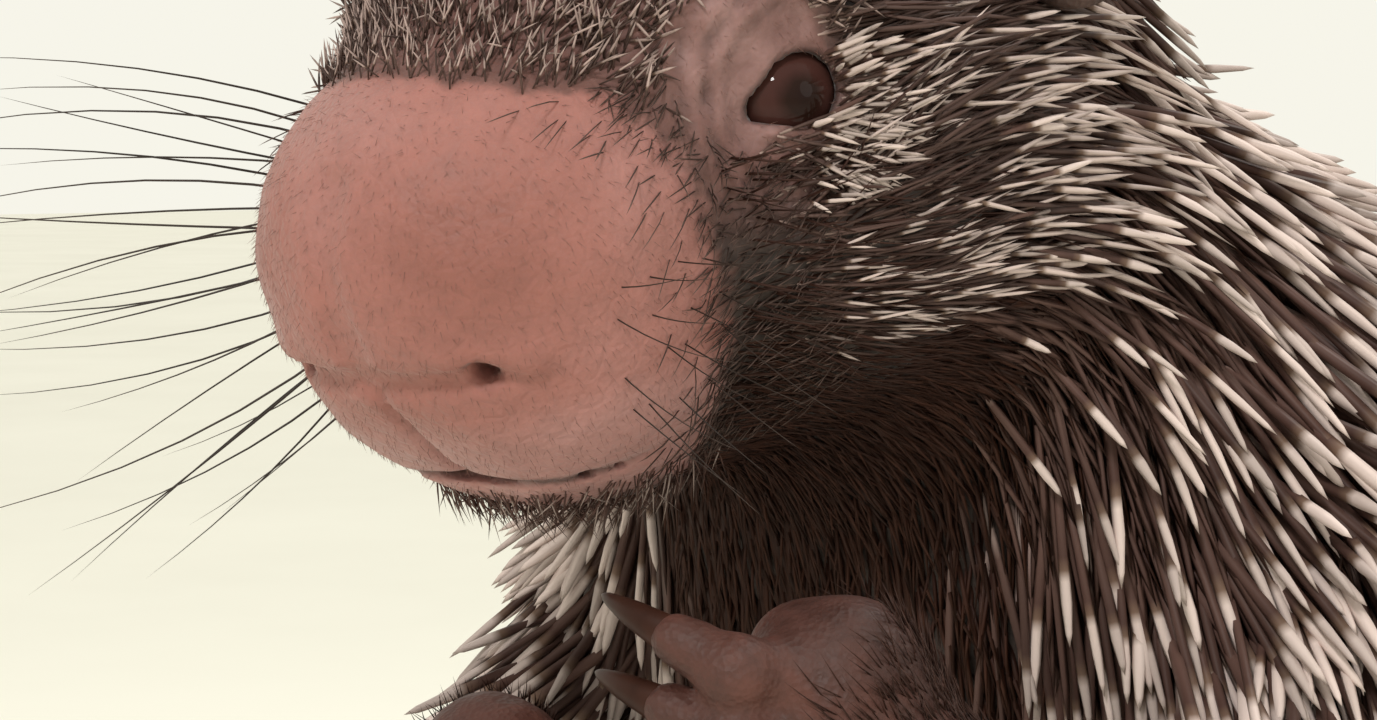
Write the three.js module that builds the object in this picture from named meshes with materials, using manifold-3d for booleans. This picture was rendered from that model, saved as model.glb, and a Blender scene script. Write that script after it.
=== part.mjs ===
// A prehensile-tailed porcupine sitting on its haunches, forepaws held together under the chin.
// Life size, in millimetres: +Z up, the animal faces -Y, +X is its left side.
// The origin lies under the middle of the rump, on the floor that the animal sits on.
import * as THREE from "three";
import { mergeVertices } from "three/addons/utils/BufferGeometryUtils.js";
import Module from "manifold-3d";

const wasm = await Module();
wasm.setup();

// Driving sizes of the whole animal
const GAP = 0.3; // clearance between neighbouring pieces
const FLOOR = 0;
const EYE_LINE = [0, -78, 285]; // middle of the line between the eyes
const HEAD_PITCH = 15; // degrees that the muzzle points down
const EYE = { x: 21.5, radius: 6.6, opening: 4.9, socket: 9 };
const NOSE = { forward: 22, up: -8.6, width: 22.6, length: 20.2, height: 18.8 };
const TRUNK_SIDES = 20;
const HEAD_SIDES = 24;
const RUMP_AT = 60; // y of the rump's middle in the shapes below; the whole is moved by it at the end

// Coat: the height of the quill tips over the skin, and how much of it the solid core fills
const TIP_HEIGHT = { back: 20, neck: 14, crown: 8, limb: 12, tail: 9 };
const CORE_SHARE = 0.3;
const SOFT_COAT = 2.5; // short fur of the belly and throat

// Quills: their length at each station of the body's axis, their spacing there, and their girth
const QUILL = {
  lengths: [44, 50, 52, 48, 40, 30, 19, 12, 8, 6],
  spacings: [14.5, 14, 14, 13.5, 12.3, 10.6, 9, 7.2, 6, 6],
  radius: 1.45,
  sunk: 3, // depth of the root under the core's surface
  clearance: 0.4,
  lift: [0.2, 1.13], // least and greatest angle off the skin
  shortened: [1, 0.8, 0.62], // shares of the length that are tried where a quill has no room
  fromParting: 3.5, // distance of a root from the end of its node
};

const vec = (x = 0, y = 0, z = 0) => new THREE.Vector3(x, y, z);
const radians = THREE.MathUtils.degToRad;
const mix = THREE.MathUtils.lerp;
const ease = THREE.MathUtils.smoothstep;

// Head frame: forward along the muzzle, up over the crown, x to the animal's left
const headForward = vec(0, -Math.cos(radians(HEAD_PITCH)), -Math.sin(radians(HEAD_PITCH)));
const headUp = vec(0, -Math.sin(radians(HEAD_PITCH)), Math.cos(radians(HEAD_PITCH)));

function headPoint(x, forward, up) {
  return vec(...EYE_LINE)
    .addScaledVector(headForward, forward)
    .addScaledVector(headUp, up)
    .setX(x);
}

// Distance fields of the flesh, negative inside
function ellipsoid(centre, radii, pitch = 0) {
  const turn = new THREE.Quaternion().setFromAxisAngle(vec(1, 0, 0), radians(-pitch));
  const [a, b, c] = radii;
  return (p) => {
    const q = p.clone().sub(centre).applyQuaternion(turn);
    const near = Math.hypot(q.x / a, q.y / b, q.z / c);
    const slope = Math.hypot(q.x / (a * a), q.y / (b * b), q.z / (c * c));
    return slope > 0 ? (near * (near - 1)) / slope : -Math.min(a, b, c);
  };
}

function headBall(x, forward, up, width, length, height) {
  return ellipsoid(headPoint(x, forward, up), [width, length, height], HEAD_PITCH);
}

function blend(width, fields) {
  return (p) =>
    fields.reduce((sum, field) => {
      const d = field(p);
      const h = Math.max(width - Math.abs(sum - d), 0) / width;
      return Math.min(sum, d) - (h * h * width) / 4;
    }, Infinity);
}

const pastMiddle = (field) => (p) => field(vec(Math.abs(p.x), p.y, p.z));

const trunkField = blend(34, [
  ellipsoid(vec(0, 62, 64), [73, 63, 70]),
  ellipsoid(vec(0, 53, 122), [69, 60, 66]),
  ellipsoid(vec(0, 36, 178), [57, 53, 56]),
  ellipsoid(vec(0, 10, 222), [47, 46, 43]),
  ellipsoid(vec(0, -16, 258), [33, 35, 33]),
]);

const gaze = (side) =>
  headForward.clone().multiplyScalar(0.44).addScaledVector(headUp, 0.08).setX(side * 0.9).normalize();

// A shallow hollow in which the eye sits
function hollow(field, centre, radius, width) {
  return (p) => {
    const d = field(p);
    const cut = radius - p.distanceTo(centre);
    const h = Math.max(width - Math.abs(d - cut), 0) / width;
    return Math.max(d, cut) + (h * h * width) / 4;
  };
}

const headFlesh = blend(9, [
  headBall(0, -24, 3, 30, 42, 26),
  headBall(17, -14, -14, 17, 27, 20),
  headBall(0, 10, -7, 21, 28, 20),
  headBall(0, NOSE.forward, NOSE.up, NOSE.width, NOSE.length, NOSE.height),
  headBall(7.5, 20.5, -22, 12, 12.5, 9.5),
  headBall(0, 2, -30, 14.5, 24, 9.5),
  headBall(0, -2, 10, 21, 22, 17),
  headBall(15, -3, 9, 11, 15, 9),
  headBall(0, -32, -22, 26, 30, 20),
]);
const eyeRise = Math.sqrt(EYE.radius ** 2 - EYE.opening ** 2);
const socketAt = headPoint(EYE.x, 0, 0).addScaledVector(gaze(1), eyeRise + EYE.socket);
const headField = pastMiddle(hollow(headFlesh, socketAt, EYE.socket, 4));

const bodyField = blend(16, [trunkField, headField]);

// The axis of trunk, neck and head, from the rump to the nose. A place on it is a number of stations:
// each has a point and the lean of its cross-section, in degrees from level towards the animal's front.
const STATIONS = [
  { at: vec(0, RUMP_AT, 46), lean: 0 },
  { at: vec(0, 62, 95), lean: 0 },
  { at: vec(0, 54, 150), lean: 8 },
  { at: vec(0, 36, 200), lean: 18 },
  { at: vec(0, 10, 240), lean: 34 },
  { at: vec(0, -20, 269), lean: 58 },
  { at: headPoint(0, -27, -2), lean: 88 },
  { at: headPoint(0, -6, -5), lean: 90 + HEAD_PITCH },
  { at: headPoint(0, 8, -8), lean: 90 + HEAD_PITCH },
  { at: headPoint(0, 17, -9), lean: 90 + HEAD_PITCH },
];
const LAST_STATION = STATIONS.length - 1;
const bodyAxis = new THREE.CatmullRomCurve3(STATIONS.map((station) => station.at));

const axisPoint = (s) => bodyAxis.getPoint(s / LAST_STATION);

function axisLean(s) {
  const i = Math.min(Math.floor(s), LAST_STATION - 1);
  return radians(mix(STATIONS[i].lean, STATIONS[i + 1].lean, s - i));
}

const axisNormal = (s) => vec(0, -Math.sin(axisLean(s)), Math.cos(axisLean(s)));

// Where a ray from inside leaves the field's surface
function cast(field, from, direction, level) {
  const at = (t) => from.clone().addScaledVector(direction, t);
  const step = 2;
  let t = 0;
  while (field(at(t)) < level && t < 200) t += step;
  let low = Math.max(t - step, 0);
  for (let i = 0; i < 14; i++) {
    const middle = (low + t) / 2;
    if (field(at(middle)) < level) low = middle;
    else t = middle;
  }
  return t;
}

// The direction at an angle round the axis: 0 is the animal's left, 90 its back or crown
function around(s, angle) {
  const back = vec(0, Math.cos(axisLean(s)), Math.sin(axisLean(s)));
  return vec(Math.cos(angle), 0, 0).addScaledVector(back, Math.sin(angle));
}

// The stations where the nodes of trunk, neck and head meet
const PARTING = { rump: 1.5, abdomen: 2.8, thorax: 4.25, neck: 5.75 };

// How far the coat's quill tips stand over a place on the skin of trunk or head: bare on the muzzle
// and round the eyes, low on throat and belly
const coatEdge = (s) => mix(mix(-0.55, -0.86, ease(s, 2.6, 4.4)), -0.5, ease(s, 5.4, 6.2));

function tipHeight(s, angle, skin) {
  const dorsal = ease(Math.sin(angle), coatEdge(s) - 0.07, coatEdge(s) + 0.3);
  const toEye = headPoint(EYE.x, 0, 0).distanceTo(vec(Math.abs(skin.x), skin.y, skin.z));
  const furred = (1 - ease(s, 7.2, 8.5)) * ease(toEye, 8, 19);
  const neck = mix(TIP_HEIGHT.back, TIP_HEIGHT.neck, ease(s, 3.2, 5.2));
  const tall = mix(neck, TIP_HEIGHT.crown, ease(s, 5.2, 6.6));
  return mix(SOFT_COAT, tall, dorsal) * furred;
}

function bodySurface(s, angle) {
  const from = axisPoint(s);
  const out = around(s, angle);
  const skin = from.clone().addScaledVector(out, cast(bodyField, from, out, 0));
  const depth = tipHeight(s, angle, skin) * CORE_SHARE;
  return from.clone().addScaledVector(out, cast(bodyField, from, out, depth));
}

// A closed mesh from rings of points, with a fan of triangles to a middle point at each end
function closeRings(rings, first, last) {
  const sides = rings[0].length;
  const points = [first, ...rings.flat(), last];
  const faces = [];
  const at = (ring, side) => 1 + ring * sides + (side % sides);
  for (let side = 0; side < sides; side++) {
    faces.push(0, at(0, side + 1), at(0, side));
    for (let ring = 0; ring + 1 < rings.length; ring++) {
      faces.push(at(ring, side), at(ring, side + 1), at(ring + 1, side));
      faces.push(at(ring, side + 1), at(ring + 1, side + 1), at(ring + 1, side));
    }
    faces.push(points.length - 1, at(rings.length - 1, side), at(rings.length - 1, side + 1));
  }
  const geometry = new THREE.BufferGeometry().setFromPoints(points);
  geometry.setIndex(faces);
  return geometry;
}

// Solids for joining and cutting
function solidOf(geometry) {
  const bare = geometry.clone();
  bare.deleteAttribute("normal");
  bare.deleteAttribute("uv");
  const merged = mergeVertices(bare, 1e-4);
  const made = new wasm.Manifold(
    new wasm.Mesh({
      numProp: 3,
      vertProperties: new Float32Array(merged.attributes.position.array),
      triVerts: new Uint32Array(merged.index.array),
    }),
  );
  if (made.volume() > 0) return made;
  const turned = merged.index.array;
  for (let i = 0; i < turned.length; i += 3) [turned[i], turned[i + 1]] = [turned[i + 1], turned[i]];
  return solidOf(merged);
}

function geometryOf(solid) {
  const mesh = solid.getMesh();
  const geometry = new THREE.BufferGeometry();
  geometry.setAttribute("position", new THREE.BufferAttribute(new Float32Array(mesh.vertProperties), 3));
  geometry.setIndex(new THREE.BufferAttribute(new Uint32Array(mesh.triVerts), 1));
  return geometry;
}

// The largest closed body, once points closer than the mesh can tell apart are one
function largest(solid) {
  const whole = solidOf(mergeVertices(geometryOf(solid), 1e-3));
  return whole.decompose().reduce((best, piece) => (piece.volume() > best.volume() ? piece : best));
}

const joined = (solids) => solids.reduce((all, solid) => all.add(solid));

// The same solid with every face moved outward, for cutting a neighbour clear of it
function grown(solid, by) {
  const geometry = mergeVertices(geometryOf(solid), 1e-4);
  const { position } = geometry.attributes;
  const corners = geometry.index.array;
  const facings = Array.from({ length: position.count }, () => []);
  const [a, b, c] = [vec(), vec(), vec()];
  for (let i = 0; i < corners.length; i += 3) {
    [a, b, c].forEach((corner, k) => corner.fromBufferAttribute(position, corners[i + k]));
    const facing = b.clone().sub(a).cross(c.clone().sub(a));
    if (facing.length() < 1e-9) continue;
    facing.normalize();
    for (let k = 0; k < 3; k++) facings[corners[i + k]].push(facing);
  }
  facings.forEach((around, i) => {
    const out = around.reduce((sum, facing) => sum.add(facing), vec()).normalize();
    const slant = Math.max(0.4, Math.min(...around.map((facing) => facing.dot(out))));
    const moved = vec().fromBufferAttribute(position, i).addScaledVector(out, by / slant);
    position.setXYZ(i, moved.x, moved.y, moved.z);
  });
  return solidOf(geometry);
}

// A big box whose face passes through a point, filling the side that the normal points to
function halfSpace(point, normal) {
  const size = 1200;
  const box = new THREE.BoxGeometry(size, size, size);
  box.translate(0, 0, size / 2);
  box.applyQuaternion(new THREE.Quaternion().setFromUnitVectors(vec(0, 0, 1), normal.clone().normalize()));
  box.translate(point.x, point.y, point.z);
  return solidOf(box);
}

const underFloor = halfSpace(vec(0, 0, FLOOR), vec(0, 0, -1));

// One length of trunk, neck or head, with flat ends half a gap inside its two partings
function bodyLength(from, to, rings, sides = TRUNK_SIDES) {
  const made = [];
  for (let i = 0; i <= rings; i++) {
    const s = mix(from, to, i / rings);
    const inset = i === 0 ? GAP / 2 : i === rings ? -GAP / 2 : 0;
    const shift = axisNormal(s).multiplyScalar(inset);
    const ring = [];
    for (let side = 0; side < sides; side++) {
      ring.push(bodySurface(s, ((side + 0.5) / sides) * 2 * Math.PI).add(shift));
    }
    made.push(ring);
  }
  const first = axisPoint(from).addScaledVector(axisNormal(from), GAP / 2);
  const last = axisPoint(to).addScaledVector(axisNormal(to), -GAP / 2);
  return { rings: made, first, last };
}

// Rounded end rings, cast from the last middle ever more along the axis
function roundEnd(s, outward, steps, depth, sides = TRUNK_SIDES) {
  const from = axisPoint(s);
  const along = axisNormal(s).multiplyScalar(outward);
  const rings = [];
  for (let i = 1; i < steps; i++) {
    const lean = (i / steps) * (Math.PI / 2);
    const ring = [];
    for (let side = 0; side < sides; side++) {
      const out = around(s, ((side + 0.5) / sides) * 2 * Math.PI)
        .multiplyScalar(Math.cos(lean))
        .addScaledVector(along, Math.sin(lean));
      ring.push(from.clone().addScaledVector(out, cast(bodyField, from, out, depth(out))));
    }
    rings.push(ring);
  }
  return { rings, pole: from.clone().addScaledVector(along, cast(bodyField, from, along, depth(along))) };
}

// A swept solid of changing radius, whose start and end are each round or flat
function tube(points, radii, { sides = 8, steps = 8, roundStart = true, roundEnd = true } = {}) {
  const path = new THREE.CatmullRomCurve3(points, false, "centripetal");
  const frames = path.computeFrenetFrames(steps, false);
  const radiusAt = (t) => {
    const place = t * (radii.length - 1);
    const i = Math.min(Math.floor(place), radii.length - 2);
    return mix(radii[i], radii[i + 1], place - i);
  };
  const ringAt = (t, i, scale, along) => {
    const centre = path.getPointAt(t).addScaledVector(frames.tangents[i], along);
    const ring = [];
    for (let side = 0; side < sides; side++) {
      const angle = ((side + 0.5) / sides) * 2 * Math.PI;
      ring.push(
        centre
          .clone()
          .addScaledVector(frames.normals[i], Math.cos(angle) * scale)
          .addScaledVector(frames.binormals[i], Math.sin(angle) * scale),
      );
    }
    return ring;
  };
  const rings = [];
  for (let i = 0; i <= steps; i++) rings.push(ringAt(i / steps, i, radiusAt(i / steps), 0));
  const [start, end] = [radii[0], radii[radii.length - 1]];
  const first = path.getPointAt(0).addScaledVector(frames.tangents[0], roundStart ? -start : 0);
  const last = path.getPointAt(1).addScaledVector(frames.tangents[steps], roundEnd ? end : 0);
  const lean = Math.SQRT1_2;
  if (roundStart) rings.unshift(ringAt(0, 0, start * lean, -start * lean));
  if (roundEnd) rings.push(ringAt(1, steps, end * lean, end * lean));
  return solidOf(closeRings(rings, first, last));
}

function ball(centre, radii, pitch = 0, width = 14, height = 10) {
  const shape = new THREE.SphereGeometry(1, width, height);
  shape.scale(...radii);
  shape.rotateX(radians(pitch));
  shape.translate(centre.x, centre.y, centre.z);
  return solidOf(shape);
}

// Trunk, neck and head
function trunkNode(from, to, rings) {
  const { rings: made, first, last } = bodyLength(from, to, rings);
  return solidOf(closeRings(made, first, last));
}

function rumpSolid() {
  const { rings, last } = bodyLength(0, PARTING.rump, 4);
  const depth = (out) => mix(SOFT_COAT, TIP_HEIGHT.back * CORE_SHARE, ease(out.y, -0.2, 0.4));
  const end = roundEnd(0, -1, 5, depth);
  return solidOf(closeRings([...end.rings.reverse(), ...rings], end.pole, last)).subtract(underFloor);
}

function headShell() {
  const { rings, first } = bodyLength(PARTING.neck, LAST_STATION, 11, HEAD_SIDES);
  rings[rings.length - 1].forEach((p) => p.addScaledVector(axisNormal(LAST_STATION), GAP / 2));
  const end = roundEnd(LAST_STATION, 1, 5, () => 0, HEAD_SIDES);
  return solidOf(closeRings([...rings, ...end.rings], first, end.pole));
}

// The head's own parts
const MOUTH = { up: -31, back: -14, groove: 0.9 };
const MUZZLE_ROOT = 7; // how far before the eyes the muzzle node starts
const SIDES = { left: 1, right: -1 };

function eyeball(side, extra = 0) {
  const radius = EYE.radius + extra;
  return ball(headPoint(side * EYE.x, 0, 0), [radius, radius, radius], 0, 10, 7);
}

// Lids: a raised rim round the eye's opening, a little longer than high
function lids(side) {
  const facing = gaze(side);
  const forward = headForward.clone().addScaledVector(facing, -headForward.dot(facing)).normalize();
  const up = facing.clone().cross(forward);
  const middle = headPoint(side * EYE.x, 0, 0).addScaledVector(facing, eyeRise);
  const rim = [];
  for (let i = 0; i < 12; i++) {
    const angle = (i / 12) * 2 * Math.PI;
    rim.push(
      middle
        .clone()
        .addScaledVector(forward, EYE.opening * 1.12 * Math.cos(angle))
        .addScaledVector(up, EYE.opening * 0.9 * Math.sin(angle)),
    );
  }
  const section = new THREE.Shape().absarc(0, 0, 1.25, 0, 2 * Math.PI);
  const extrudePath = new THREE.CatmullRomCurve3(rim, true);
  return solidOf(new THREE.ExtrudeGeometry(section, { steps: 12, extrudePath, curveSegments: 2 }));
}

function nostril(side) {
  const inner = headPoint(side * 5, 40, -21);
  const outer = headPoint(side * 12, 36.5, -18.5);
  return tube([inner, outer], [2, 0.9], { sides: 6, steps: 1 });
}

// The groove between the lips, on the surface at the mouth's height
function mouthGroove() {
  const path = [];
  for (let i = 0; i <= 10; i++) {
    const turn = radians(mix(-105, 105, i / 10));
    const out = headForward.clone().multiplyScalar(Math.cos(turn)).setX(Math.sin(turn)).normalize();
    const from = headPoint(0, 8, MOUTH.up);
    path.push(from.addScaledVector(out, cast(headField, from, out, 0)));
  }
  return tube(path, [MOUTH.groove, MOUTH.groove], { sides: 4, steps: 12 });
}

// The cleft under the nose
function philtrum() {
  const path = [headPoint(0, 41.5, -19), headPoint(0, 37, -26), headPoint(0, 32, MOUTH.up)];
  return tube(path, [0.8, 0.8], { sides: 4, steps: 3 });
}

const EAR = { x: 35, forward: -38, up: 11, reach: 13, pitch: -18, turn: 38 };

function ear(side) {
  const turned = new THREE.Euler(radians(EAR.pitch), 0, radians(side * EAR.turn));
  const turn = new THREE.Matrix4().makeRotationFromEuler(turned);
  const cup = solidOf(new THREE.SphereGeometry(1, 10, 7).scale(8.5, 4.5, 11.5));
  const inside = solidOf(new THREE.SphereGeometry(1, 8, 5).scale(6.6, 4.2, 9.2).translate(0, -2.6, 1));
  const geometry = geometryOf(cup.subtract(inside)).applyMatrix4(turn);
  const at = headPoint(side * EAR.x, EAR.forward, EAR.up);
  return solidOf(geometry.translate(at.x, at.y, at.z));
}

function headNodes() {
  const eyesAndLids = Object.values(SIDES);
  let shell = joined([headShell(), ...eyesAndLids.map(lids)]);
  const cuts = [mouthGroove(), philtrum(), ...eyesAndLids.map(nostril)];
  cuts.push(...eyesAndLids.map((side) => eyeball(side, GAP)));
  shell = cuts.reduce((left, cut) => left.subtract(cut), shell);
  const side = (forward, up, normal) => halfSpace(headPoint(0, forward, up), normal);
  const back = headForward.clone().negate();
  const down = headUp.clone().negate();
  const half = GAP / 2;
  const jawSpace = side(0, MOUTH.up + half, down).intersect(side(MOUTH.back - half, 0, headForward));
  const jaw = shell
    .intersect(side(0, MOUTH.up - half, down))
    .intersect(side(MOUTH.back + half, 0, headForward));
  return {
    head: largest(shell.intersect(side(MUZZLE_ROOT - half, 0, back)).subtract(jawSpace)),
    muzzle: largest(shell.intersect(side(MUZZLE_ROOT + half, 0, headForward)).subtract(jawSpace)),
    lower_jaw: largest(jaw),
  };
}

// Legs: points are for the left side, and mirrored for the right
const mirrored = (points, side) => points.map(([x, y, z]) => vec(side * x, y, z));

const ARM = {
  upper: { path: [[44, 4, 222], [58, -6, 192], [63, -16, 164]], radii: [26, 22, 16] },
  fore: { elbow: [63, -18, 165], bend: [58, -44, 184], wrist: [9, 12, -13], radii: [15.5, 14, 9.5] },
};
const LEG = {
  thigh: { path: [[46, 66, 72], [68, 24, 92], [80, -26, 90]], radii: [48, 42, 25] },
  shank: { path: [[80, -30, 76], [79, 4, 48], [73, 32, 20]], radii: [20, 21, 13] },
};
const PALM = { left: [34, -82, 226], right: [14, -82, 211] };
const PAW = { width: 8, depth: 9.5, height: 11.5 };
const FINGER = { spread: 5.8, length: 6.5, radius: 3 };
const FOOT = { heel: [72, 34, 11], ball: [84, -42, 9], radius: 13 };
const TOE = { spread: 8.5, length: 20, radius: 4.4 };
const FORE_CLAW = { length: 11, radii: [2, 1.4, 0.3], curl: 0.5 };
const HIND_CLAW = { length: 14, radii: [2.3, 1.7, 0.35], curl: 0.06 };

const limb = ({ path, radii }, steps = 5) => tube(path, radii, { sides: 10, steps });
const onSide = ({ path, radii }, side) => ({ path: mirrored(path, side), radii });

// The forearm ends at the wrist, which is set from the palm
function forearm(name, side) {
  const { elbow, bend, wrist, radii } = ARM.fore;
  const end = PALM[name].map((value, axis) => value + wrist[axis]);
  return { path: mirrored([elbow, bend, end], side), radii };
}

// Four fingers, stacked from the top of the palm down, that curl in towards the other paw
function finger(name, side, i) {
  const [x, y, z] = PALM[name];
  const height = z + FINGER.spread * (0.75 - i);
  const reach = FINGER.length * (i === 0 || i === 3 ? 0.86 : 1);
  const root = [x - 1, y - 4, height];
  const knuckle = [x - 4, y - 12, height + (1.5 - i) * 0.6];
  const tip = [x - 4 - reach, y - 14, height + 2.4 + (1.5 - i) * 0.9];
  return mirrored([root, knuckle, tip], side);
}

// A claw set face to face on a digit's end, that curves from the digit's own direction to another
function claw(tip, along, { length, radii, curl }, towards) {
  const ahead = along.normalize();
  const path = [tip.clone().addScaledVector(ahead, GAP * 1.1)];
  for (const part of [0.45, 1]) {
    const bent = ahead.clone().addScaledVector(towards, curl * part).normalize();
    path.push(path[0].clone().addScaledVector(bent, length * part));
  }
  return { path, radii };
}

function foreClaw(name, side, i) {
  const [, knuckle, tip] = finger(name, side, i);
  return claw(tip, tip.clone().sub(knuckle), FORE_CLAW, vec(-side * 0.2, 0.9, -0.35));
}

function toe(side, i) {
  const away = (i - 1.5) * TOE.spread;
  const reach = TOE.length * (i === 0 || i === 3 ? 0.85 : 1);
  const root = [FOOT.ball[0] + away * 0.8, FOOT.ball[1] + 2, 7];
  const tip = [FOOT.ball[0] + away * 1.35, FOOT.ball[1] - reach, TOE.radius + 1];
  return mirrored([root, [(root[0] + tip[0]) / 2, (root[1] + tip[1]) / 2, 7.4], tip], side);
}

function hindClaw(side, i) {
  const [, middle, tip] = toe(side, i);
  return claw(tip, tip.clone().sub(middle), HIND_CLAW, vec(0, 0, -1));
}

function clawSolid({ path, radii }) {
  return tube(path, radii, { sides: 5, steps: 3, roundStart: false, roundEnd: false });
}

const DIGIT = { sides: 6, steps: 2, roundEnd: false };

function forepaw(name, side) {
  const [x, y, z] = PALM[name];
  const palm = ball(vec(side * x, y, z), [PAW.width, PAW.depth, PAW.height], 0, 8, 5);
  const heel = mirrored([[x + 10, y + 10, z - 12], [x + 4, y + 4, z - 6]], side);
  const fingers = [0, 1, 2, 3].map((i) =>
    tube(finger(name, side, i), [FINGER.radius, FINGER.radius, FINGER.radius * 0.8], DIGIT),
  );
  return joined([palm, tube(heel, [8, 8], { sides: 6, steps: 1 }), ...fingers]);
}

function hindFoot(side) {
  const { heel, ball: front, radius } = FOOT;
  const path = mirrored([heel, [79, -4, 11], front], side);
  const sole = tube(path, [11, radius, radius + 1], { sides: 8, steps: 3 });
  const pad = ball(vec(side * (front[0] - 11), front[1] + 22, 7), [8, 12, 8], 0, 8, 6);
  const toes = [0, 1, 2, 3].map((i) =>
    tube(toe(side, i), [TOE.radius * 1.2, TOE.radius, TOE.radius * 0.8], DIGIT),
  );
  return joined([sole, pad, ...toes]).subtract(underFloor);
}

// Tail: it leaves the rump low, lies along the floor and coils to the animal's left
const TAIL = {
  path: [
    [0, 112, 38], [2, 150, 27], [8, 200, 19], [34, 246, 15], [84, 262, 12.5], [130, 238, 10.8],
    [148, 196, 9.4], [132, 158, 8], [98, 152, 6.8], [80, 174, 5.6],
  ],
  radii: [32, 27, 20, 16, 13.5, 11.8, 10.2, 8.8, 7.4, 6],
  nodes: { tail_base: [0, 2], tail_middle: [2, 5], tail_tip: [5, 9] },
};

function tailLength(first, last) {
  const path = TAIL.path.slice(first, last + 1).map((p) => vec(...p));
  const ends = [path[1].clone().sub(path[0]), path.at(-2).clone().sub(path.at(-1))];
  if (first > 0) path[0].addScaledVector(ends[0].normalize(), GAP);
  return { path, radii: TAIL.radii.slice(first, last + 1) };
}

// Every node in the order of building: each is cut clear of those before it
const solids = {};
const limbs = {};

function place(name, solid) {
  const margin = GAP * 0.95;
  const clear = Object.values(solids).reduce((left, other) => left.subtract(grown(other, margin)), solid);
  solids[name] = largest(clear);
}

function placeLimb(name, shape, steps) {
  limbs[name] = shape;
  place(name, limb(shape, steps).subtract(underFloor));
}

solids.rump = rumpSolid();
solids.abdomen = trunkNode(PARTING.rump, PARTING.abdomen, 4);
solids.thorax = trunkNode(PARTING.abdomen, PARTING.thorax, 4);
solids.neck = trunkNode(PARTING.thorax, PARTING.neck, 4);
Object.assign(solids, headNodes());
for (const [name, side] of Object.entries(SIDES)) {
  solids["eye_" + name] = eyeball(side);
  place("ear_" + name, ear(side));
}
for (const [name, side] of Object.entries(SIDES)) {
  placeLimb("upper_arm_" + name, onSide(ARM.upper, side), 4);
  placeLimb("forearm_" + name, forearm(name, side), 4);
  for (let i = 0; i < 4; i++) place(`fore_claw_${name}_${i + 1}`, clawSolid(foreClaw(name, side, i)));
  place("forepaw_" + name, forepaw(name, side));
}
for (const [name, side] of Object.entries(SIDES)) {
  placeLimb("thigh_" + name, onSide(LEG.thigh, side), 6);
  placeLimb("shank_" + name, onSide(LEG.shank, side), 4);
  for (let i = 0; i < 4; i++) place(`hind_claw_${name}_${i + 1}`, clawSolid(hindClaw(side, i)));
  place("hind_foot_" + name, hindFoot(side));
}
for (const [name, [first, last]] of Object.entries(TAIL.nodes)) {
  limbs[name] = tailLength(first, last);
  const { path, radii } = limbs[name];
  const ends = { roundStart: first === 0, roundEnd: last === TAIL.path.length - 1 };
  place(name, tube(path, radii, { sides: 10, steps: 6, ...ends }).subtract(underFloor));
}

// Quills, each a four-sided spike with its root sunk in the coat. Any draw is from a seeded sequence.
let seed = 20;
function draw(low, high) {
  seed = (seed * 16807) % 2147483647;
  return mix(low, high, seed / 2147483647);
}

function sampled(values, s) {
  const i = Math.min(Math.max(Math.floor(s), 0), values.length - 2);
  return mix(values[i], values[i + 1], s - i);
}

function slopeOf(field, p) {
  const step = 0.5;
  const along = (axis) => field(p.clone().add(axis)) - field(p.clone().sub(axis));
  return vec(along(vec(step)), along(vec(0, step)), along(vec(0, 0, step))).normalize();
}

// The distance between two straight stretches
function stretchDistance([a, b], [c, d]) {
  const lines = [new THREE.Line3(a, b), new THREE.Line3(c, d)];
  let [p, q] = [a.clone(), c.clone()];
  for (let i = 0; i < 6; i++) {
    q = lines[1].closestPointToPoint(p, true, vec());
    p = lines[0].closestPointToPoint(q, true, vec());
  }
  return p.distanceTo(q);
}

// The flesh of a limb or a length of tail as a distance field, negative inside
function limbField({ path, radii }) {
  const curve = new THREE.CatmullRomCurve3(path, false, "centripetal");
  const balls = [];
  for (let i = 0; i <= 12; i++) {
    balls.push([curve.getPointAt(i / 12), sampled(radii, (i / 12) * (radii.length - 1))]);
  }
  return (p) => Math.min(...balls.map(([centre, radius]) => p.distanceTo(centre) - radius));
}

const quills = [];
const limbFields = {};
for (const [name, shape] of Object.entries(limbs)) limbFields[name] = limbField(shape);
const earPlaces = Object.values(SIDES).map((side) => headPoint(side * EAR.x, EAR.forward, EAR.up));

// How clear a point stands of every node but its own, and of the floor. The body's core, which
// stands over the skin by coreHeight, counts only where that is given.
function roomAt(p, node, coreHeight = -Infinity) {
  const others = Object.keys(limbFields).filter((name) => name !== node);
  const room = [p.z, ...earPlaces.map((at) => p.distanceTo(at) - EAR.reach)];
  room.push(...others.map((name) => limbFields[name](p)));
  room.push(bodyField(p) - coreHeight);
  return Math.min(...room);
}

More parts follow.
